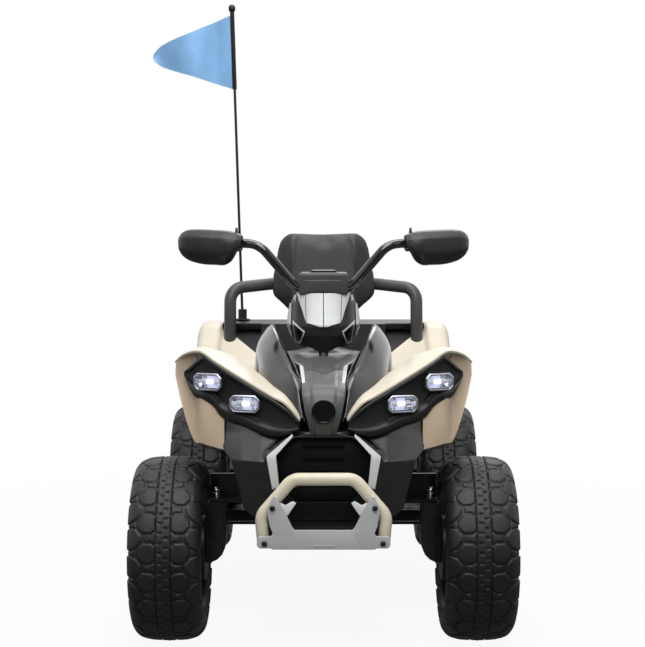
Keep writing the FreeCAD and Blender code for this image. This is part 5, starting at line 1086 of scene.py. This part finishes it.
def seat_seams(points):
    """Four cross channels and a long welt either side pressed into the seat's top."""
    x, y, z = points.T
    sunk = np.zeros_like(x)
    for place in (30.0, 95.0, 160.0, 225.0):
        sunk += np.exp(-((y - place - 0.0016 * x**2) / 3.6) ** 2) * rise(70 - np.abs(x), 6)
    for way in (1, -1):
        sunk += np.exp(-((x - way * (66 + 0.03 * (y + 90))) / 3.4) ** 2) * rise(y + 60, 20)
    z = z - np.minimum(sunk, 1.0) * 4.5 * rise(z - 425, 14)
    return xyz(x, y, np.maximum(z, SEAT_FOOT))


def backrest():
    """Superellipse rings up the backrest, flattened front and back, with chamfered shoulders."""
    c, s = np.cos(around(72)), np.sin(around(72))
    loops = []
    for share, half, deep in smooth_along(eased(BACK_ROWS, 0, 0.2, 2), 56):
        end = math.sqrt(max(0.0, 1 - (2 * share - 1) ** 14)) * 0.99 + 0.01
        x = bulge(c, 0.5) * (BACK_HALF * half) * (0.8 + 0.2 * end)
        y = BACK_Y + bulge(s, 0.62) * BACK_DEEP * deep * (0.3 + 0.7 * end)
        loops.append(xyz(x, y, BACK_FOOT + BACK_HIGH * share))
    return rings(loops)


def backrest_seams(points):
    """Long channels between the middle panel and the proud side bolsters, and one channel across the foot."""
    x, y, z = points.T
    shares, halves = np.array(BACK_ROWS).T[:2]
    half = np.interp((z - 517) / 196, shares, halves) * 115
    sunk = np.zeros_like(x)
    for way in (1, -1):
        sunk += np.exp(-((x - way * half * 0.60) / 3.2) ** 2)
    sunk += np.exp(-((z - 560) / 3.0) ** 2) * rise(half * 0.58 - np.abs(x), 5)
    proud = rise(np.abs(x) - half * 0.60, 10) * rise(half * 1.0 - np.abs(x), 14)
    y = y + (np.minimum(sunk, 1.0) * 4.0 - proud * 3.0) * rise(331 - y, 12)
    return xyz(x, np.minimum(y, 352.0), np.clip(z, 517.5, 719))


soft_piece("seat", seat(), "seat", SWELL_REACH, seat_seams)
back = soft_piece("backrest", backrest(), "backrest", SWELL_REACH, backrest_seams)
keep_values(back, "bolster", rise(np.abs(points_of(back)[:, 0] / MM) - 68, 3))


# Flag, with places along the pole counted from its foot

POLE_FOOT, POLE_TIP = np.array((-185.0, 409.6, 517.0)), np.array((-206.0, 409.6, 1217.0))
POLE_BALL = [(697.5, 3.6), (698, 4.6), (700.5, 6.9), (704, 7.9), (708, 7.9), (711.5, 6.9), (714, 4.4),
             (715, 1.6)]
FLAG_LOW, FLAG_TOP, FLAG_FLY = 526, 690, 178.0
FLAG_END_LOW, FLAG_END_TOP = 1098, 1133
pole_way = unit(POLE_TIP - POLE_FOOT)
pole = [(5, 3.0)] + [(t, 3.0) for t in np.linspace(20, 692, 30)] + POLE_BALL
made_for("flag_pole", [turned(pole, POLE_FOOT, pole_way, 20)], "steel_dark")
sleeve = [(525, 3.3), (525, 4.6), (526, 5.0)]
sleeve += [(t, 5.0 + 0.25 * math.sin(t * 0.9)) for t in np.linspace(528, 694, 50)]
sleeve += [(696.5, 5.0), (697.5, 4.6), (697.5, 3.3)]
made_for("flag_sleeve", [torus(turned_loops(sleeve, POLE_FOOT, pole_way, 24))], "black")


def flag():
    """Hoist to fly in steps; each step's height tapers to a rounded tip, and a wave grows along the cloth."""
    t = np.linspace(0, 1, 90)[:, None]
    v = np.linspace(0, 1, 60)[None, :]
    top, low = [(POLE_FOOT + pole_way * place)[2] for place in (FLAG_TOP, FLAG_LOW)]
    shape = np.sqrt(np.clip(1 - np.clip((t - 0.86) / 0.14, 0, 1) ** 2, 0.0004, 1))
    upper = top - (top - FLAG_END_TOP) * (0.95 * t + 0.05 * t**2) / 0.97
    lower = low + (FLAG_END_LOW - low) * t
    z = (upper + lower) / 2 + (upper - lower) / 2 * shape * (1 - 2 * v)
    hoist_x = POLE_FOOT[0] + pole_way[0] * (z - POLE_FOOT[2]) - 5.0
    swell = rise(t, 0.25)
    y = POLE_FOOT[1] + 8.0 * np.sin(t * 7.4 + v * 1.3) * swell + 3.0 * np.sin(t * 15 - v * 2.4) * swell
    grid = xyz(hoist_x - FLAG_FLY * t, y, z)
    made = made_for("flag", [shell(grid, 0.5)], "flag")


flag()


# Pieces that keep their CAD shape, with rounded edges

for node_name, finish_name, edge in (
    ("grille", "matt", 0.6), ("hood_inserts", "silver", 0.7), ("chassis_tub", "black", 1.6),
    ("accelerator_pedal", "black", 0.8), ("rear_body", "black", 1.8), ("battery", "dark", 1.2),
    ("switch_housings", "black", 0.8), ("front_axle_beam", "steel_dark", 0.8),
    ("rear_axle_beam", "steel_dark", 0.8), ("tie_rod", "steel_dark", 0.4),
    ("front_gearbox_left", "black", 1.2), ("front_gearbox_right", "black", 1.2),
    ("rear_gearboxes", "black", 1.2), ("flag_socket", "black", 0.8), ("charge_socket", "black", 0.5),
):
    dressed(node_name, finish_name, edge)

BADGE = [(3.8, 0.05), (3.8, 20.2), (0.8, 20.5), (-0.4, 19.8), (-0.6, 18.4), (0.3, 17.2), (0.4, 12.0),
         (0.1, 0.05)]
made_for("emblem_disc", [turned(BADGE, (0, -504.3, 430), (0, 1, 0), 64)], "badge")


UPRIGHT = np.array([(174, 249), (210, 249), (210, 142), (201, 142), (190, 147), (181, 156), (176, 168),
                    (174, 182)])
UPRIGHT_RIB = np.array([(178, 240), (206, 240), (206, 196), (192, 186), (178, 196)])
ARM = np.array([(183, -344), (201, -344), (202, -301), (199, -294), (192, -291.4), (185, -294), (182, -301)])


def knuckle(way):
    """An upright outline carried through its depth, an arm laid flat behind it, a rib and the spindle."""
    spindle = np.array([(208 * way, -WHEEL_Y, AXLE_Z), (324 * way, -WHEEL_Y, AXLE_Z)])
    return [slab(UPRIGHT * (way, 1), -380, -340), slab(ARM * (way, 1), 186, 194, 2),
            slab(UPRIGHT_RIB * (way, 1), -382.5, -379.5), tube(spindle, 6.0)]


for hand, way in (("left", 1), ("right", -1)):
    made_for(f"knuckle_{hand}", knuckle(way), "steel_dark", 1.6)


# Nose fairing: pairs of inner and outer (x, z) round it, and depths by distance out and by height

FAIRING_PAIRS = np.array([
    (0, 384, 0, 392), (24, 384, 46, 392), (48, 384, 86, 386), (62, 372.1, 115, 393), (75, 361, 150, 406),
    (84, 353.4, 180, 416), (88, 350, 181, 392), (87, 345.8, 172, 357), (85.6, 340, 159, 342),
    (81, 320.8, 148, 300), (76, 300, 138, 258), (61, 286, 124, 246), (46, 272, 90, 240),
    (0, 272, 0, 240)], float)
FAIRING_X = [0, 50, 80, 110, 140, 172, 182]
FAIRING_Z = [240, 300, 342, 350, 386, 430]
COLLAR_Y = [(-478, -478, -477, -475, -465, -448, -442), (-490, -489, -486, -482, -470, -450, -444),
            (-497, -495, -492, -488, -475, -453, -446), (-498, -496, -493, -489, -475, -453, -446),
            (-489, -487, -484, -481, -468, -449, -442), (-482, -480, -476, -472, -460, -446, -440)]
SHOULDER_Y = [(-478, -478, -477, -474, -464, -450, -444), (-490, -489, -486, -481, -471, -456, -450),
              (-497, -495, -493, -489, -478, -461, -455), (-496, -493, -489, -484, -474, -458, -452),
              (-486, -480, -470, -465, -456, -444, -438), (-480, -472, -456, -447, -442, -435, -430)]


def table_at(x, z, table):
    """Straight interpolation in a table of depths, by distance out and by height."""
    out = np.clip(np.abs(x), FAIRING_X[0], FAIRING_X[-1])
    near = np.clip(np.searchsorted(FAIRING_X, out, "right") - 1, 0, len(FAIRING_X) - 2)
    low = np.take(FAIRING_X, near)
    part = (out - low) / (np.take(FAIRING_X, near + 1) - low)
    lines = np.stack([np.interp(z, FAIRING_Z, column) for column in np.array(table, float).T])
    first, second = [np.take_along_axis(lines, near[None] + step, 0)[0] for step in (0, 1)]
    return first + (second - first) * part


JAW = [(112, 212), (112, 233), (106, 238.5), (-106, 238.5), (-112, 233), (-112, 212), (-106, 206.2),
       (106, 206.2)]


def fairing():
    """Loops from the grille's recess over a collar and the sloped shoulders to the outline, then back."""
    half = straight_along(FAIRING_PAIRS, 5)
    whole = np.concatenate([half, (half * (-1, 1, -1, 1))[-2:0:-1]])
    inner, outer = whole[:, :2], whole[:, 2:]
    reach = np.linalg.norm(outer - inner, axis=1)
    loops = [lifted(inner * share + (0, 328 * (1 - share)), -470.0) for share in (0.5, 0.995)]
    for share in np.linspace(0, 1, 26):
        flat = inner + (outer - inner) * share
        step = rise(share * reach - 12, 4)
        collar, shoulder = [table_at(*flat.T, table) for table in (COLLAR_Y, SHOULDER_Y)]
        loops.append(lifted(flat, collar * (1 - step) + shoulder * step))
    loops += [lifted(outer, back) for back in (-420.0, -381.0)]
    return [rings(loops), slab(JAW, -525.5, -380)]


made_for("front_fairing", fairing(), "satin", 1.0)
backing = slab([(-46, 290), (46, 290), (46, 378), (-46, 378)], -474.0, -471.0)
beside("grille", "grille.backing", [backing], "matt")

TRIM = [((52.0, 385.0), (53.0, 390.0)), ((80.5, 353.5), (96.6, 352.0)), ((75.6, 301.0), (87.0, 295.6))]


def trim():
    """A blade laid on the collar beside the grille: narrow at the top, widest at its knee, narrower below."""
    flat = straight_along(straight_along(TRIM, 12), 8, 1)
    return [shell(lifted(flat, table_at(flat[..., 0], flat[..., 1], COLLAR_Y) - 3.2), 5.0)]


made_for("fairing_trims", pair(trim()), "trim", 0.9)


# Treads on the footboards

def tread(way):
    """A thin mat whose height is a row of cross bars, broken into short lengths."""
    x = np.linspace(128, 283, 94)[None, :]
    y = np.linspace(-122, 154, 185)[:, None]
    bars = rise(3.4 - np.abs((y % 14.0) - 7.0), 1.6)
    broken = rise(14.5 - np.abs(((x + 17.0 * (np.floor(y / 14.0) % 2)) % 34.0) - 17.0), 1.6)
    border = rise(np.minimum(np.minimum(x - 131, 280 - x), np.minimum(y + 118, 150 - y)), 2.0)
    return [shell(xyz(way * x, y, 175.4 + 2.2 * bars * broken * border), -1.3 * way)]


for hand, way in (("left", 1), ("right", -1)):
    beside("chassis_tub", f"footboard_{hand}", tread(way), "black")


# Pressed panels, ribs and screws on the plain sides, with outlines as (y, z)

LEFTWARD, REARWARD, UPWARD = (1, 0, 0), (0, 1, 0), (0, 0, 1)
TUB_FIELD = [(-190, 312), (-152, 232), (-140, 214), (176, 214), (206, 240), (222, 312)]
TUB_SCREWS = [(-165, 300), (205, 300), (-132, 222), (180, 226)]
SCREW_HEAD = [(-1.0, 4.6), (0.8, 4.6), (2.0, 3.8), (2.4, 2.0), (1.5, 1.7), (1.5, 0.3)]
CHEEK = [(196, 399), (304, 399), (304, 488), (290, 475), (248, 454), (208, 434)]


def box(left, low, right, high, cut):
    """The outline of a rectangle with its corners cut off."""
    return [(left + cut, low), (right - cut, low), (right, low + cut), (right, high - cut),
            (right - cut, high), (left + cut, high), (left, high - cut), (left, low + cut)]


def side_pad(outline, x, high, low=-1):
    """A pad on the left side, from one level to another about a distance out."""
    return pad(outline, (x, 0, 0), REARWARD, UPWARD, low, high)


tub_side = [side_pad(TUB_FIELD, 110.4, 2.2)]
tub_side += [side_pad(box(-128, z, 150, z + 7, 3), 112.4, 2.2) for z in (228, 246, 264)]
beside("chassis_tub", "chassis_tub.pressings", pair(tub_side), "black", 1.0)
tub_heads = [turned(SCREW_HEAD, (112.6, y, z), LEFTWARD, 20) for y, z in TUB_SCREWS]
beside("chassis_tub", "chassis_tub.screws", pair(tub_heads), "zinc")


# Body sides under the cowls, as (y, lower x, upper x, upper z), and the wall behind the column, as (x, z)

BODY_SIDE = [(-368, 100, 96, 452), (-340, 106, 105, 463), (-300, 111, 114, 474), (-220, 112.4, 122, 474),
             (-140, 112.4, 120, 466), (-104, 112.4, 113, 449), (-87, 112.4, 111.5, 436)]
BODY_SIDE_LOW = 320
WALL_HALF = [(0, 330), (112, 330), (114, 440), (108, 480), (80, 495), (66, 477), (0, 476)]


def under_cowl():
    """Upright lines from the tub's edge to the cowl, carried along, bowed out and pressed in two fields."""
    y, low_x, top_x, top_z = smooth_along(BODY_SIDE, 90).T[:, :, None]
    up = np.linspace(0, 1, 40)[None, :]
    field = rise(up - 0.16, 0.05) * rise(0.84 - up, 0.05) * rise(y + 330, 10) * rise(-108 - y, 10)
    bar = rise(6 - np.abs(y + 196), 4)
    x = low_x + (top_x - low_x) * up + 4.0 * np.sin(math.pi * up) - 2.2 * field * (1 - bar)
    return shell(xyz(x, y, BODY_SIDE_LOW + (top_z - BODY_SIDE_LOW) * up), 2.8)


end_wall = pad(mirrored_outline(WALL_HALF), (0, -98, 0), LEFTWARD, UPWARD, 0, 3)
beside("chassis_tub", "chassis_tub.sides", pair([under_cowl()]) + [end_wall], "black", 0.8)


# Pressed panels on the seat base and the tail

body_side = [side_pad(box(-82, z, 160, z + 5, 2), 110.2, 2.0) for z in (338, 386)]
body_side += [side_pad([(y, 372), (y + 8, 372), (y + 30, 446), (y + 22, 446)], 138.2, 2.4)
              for y in np.linspace(262, 402, 8)]
body_side.append(side_pad(CHEEK, 135.2, 2.8, 0))
RIGHTWARD, TAIL_UP, TAIL_SLOPE = (-1, 0, 0), (0, 9.0, 93.0), (0, -70, 71)
tail = [pad(box(-112, 8, 112, 84, 10), (0, 506.3, 348), RIGHTWARD, TAIL_UP, -1, 2.4)]
tail += [pad(box(-92, z, 92, z + 7, 3), (0, 508.6, 348), RIGHTWARD, TAIL_UP, -1, 2.4)
         for z in (22, 36, 50, 64)]
tail.append(pad(box(-100, 14, 100, 84, 8), (0, 514.9, 441.4), RIGHTWARD, TAIL_SLOPE, -1, 2.2))
beside("rear_body", "rear_body.pressings", pair(body_side) + tail, "black", 1.0)


# The studio and the camera

WHITE = (1, 1, 1, 1)
FLOOR_DIFFUSE, FLOOR_PALE, FLOOR_MIRRORED = [(grey, grey, grey, 1) for grey in (0.34, 0.9, 0.02)]
FLOOR_SPAN, MIRRORED_GLOW, MIRRORED_DARK = 9000.0, 0.12, 0.85
# Name, place, what it looks at, size and power
LIGHTS = (
    ("top", (0, -300, 2600), (0, -150, 300), 2000, 38),
    ("brow", (0, -2100, 2350), (0, -250, 400), 1500, 31),
    ("key", (-1700, -2300, 1900), (0, -200, 400), 1400, 7),
    ("fill", (1900, -2100, 1500), (0, -200, 400), 1400, 5),
    ("back", (300, 2300, 2100), (0, 200, 400), 1600, 14),
)
CAMERA_PLACE, CAMERA_LENS, CAMERA_DOWN = (-1.9, -3024.7, 772.1), 83.62, 4.362


def surroundings():
    """White to the camera, dimmed ahead of the bike to mirrored and passing rays, and faint to others."""
    world = Paint("studio", "worlds")
    path = world.node("ShaderNodeLightPath")
    camera = path["Is Camera Ray"]
    seen = camera.math("MAXIMUM", path["Is Glossy Ray"].math("MAXIMUM", path["Is Transmission Ray"]))
    view = world.node("ShaderNodeTexCoord")["Generated"]
    ahead = {"Value": world.node("ShaderNodeSeparateXYZ", {0: view})["Y"], "From Min": -0.9, "From Max": 0.05,
             "To Min": 0.06, "To Max": 1.0}
    level = camera.math("MAXIMUM", world.node("ShaderNodeMapRange", ahead)[0])
    white = world.node("ShaderNodeBackground", {"Color": WHITE, "Strength": level})[0]
    soft = world.node("ShaderNodeBackground", {"Color": WHITE, "Strength": 0.15})[0]
    both = world.node("ShaderNodeMixShader", {0: seen, 1: soft, 2: white})[0]
    world.node("ShaderNodeOutputWorld", {"Surface": both})
    bpy.context.scene.world = world.block


def studio_floor():
    """A flat square, nearly all glow to the camera, pale to the light and dark to mirrored rays."""
    paint = Paint("studio floor")
    path = paint.node("ShaderNodeLightPath")
    seen = path["Is Camera Ray"].math("MAXIMUM", path["Is Transmission Ray"])
    seen = seen.math("MAXIMUM", path["Is Glossy Ray"] * MIRRORED_GLOW)
    away = paint.node("ShaderNodeVectorMath", {0: paint.coords()}, operation="LENGTH")["Value"].over(0.7, 1.7)
    tone = paint.mix(seen, FLOOR_DIFFUSE, FLOOR_PALE)
    tone = paint.mix(path["Is Glossy Ray"] * MIRRORED_DARK, tone, FLOOR_MIRRORED)
    dull = paint.node("ShaderNodeBsdfDiffuse", {"Color": tone})[0]
    lit = paint.node("ShaderNodeEmission", {"Color": WHITE, "Strength": 1.0})[0]
    both = paint.node("ShaderNodeMixShader", {0: seen * (0.93 + 0.07 * away), 1: dull, 2: lit})[0]
    paint.node("ShaderNodeOutputMaterial", {"Surface": both})
    mesh = bpy.data.meshes.new("floor")
    corners = np.array([(-1, -1, 0), (1, -1, 0), (1, 1, 0), (-1, 1, 0)]) * FLOOR_SPAN * MM
    mesh.from_pydata(corners.tolist(), [], [(0, 1, 2, 3)])
    mesh.materials.append(paint.block)
    floor = linked("floor", mesh)


def studio_lights():
    """Round soft lamps that look at the bike."""
    for name, place, aim, size, power in LIGHTS:
        light = bpy.data.lights.new(name, "AREA")
        light.shape = "DISK"
        light.size = size * MM
        light.energy = power
        look = (Vector(aim) - Vector(place)).to_track_quat("-Z", "Y").to_matrix().to_4x4()
        linked(name, light).matrix_world = Matrix.Translation(Vector(place) * MM) @ look


def photograph_camera():
    """The camera in front of the bike, a little above the handlebar and tipped down."""
    lens = bpy.data.cameras.new("camera")
    lens.sensor_width = 36
    lens.sensor_fit = "AUTO"
    lens.lens = CAMERA_LENS
    lens.clip_start = 0.05
    made = linked("camera", lens)
    made.location = Vector(CAMERA_PLACE) * MM
    made.rotation_euler = (math.radians(90 - CAMERA_DOWN), 0, 0)
    bpy.context.scene.camera = made


surroundings()
studio_floor()
studio_lights()
photograph_camera()
bpy.context.scene.view_settings.view_transform = "Standard"

for node_name, node in frame["nodes"].items():
    for place in node.material_slots:
        place.material = MATERIALS[FINISH_OF_SLOT[slot_of[node_name]]]

bpy.context.view_layer.update()
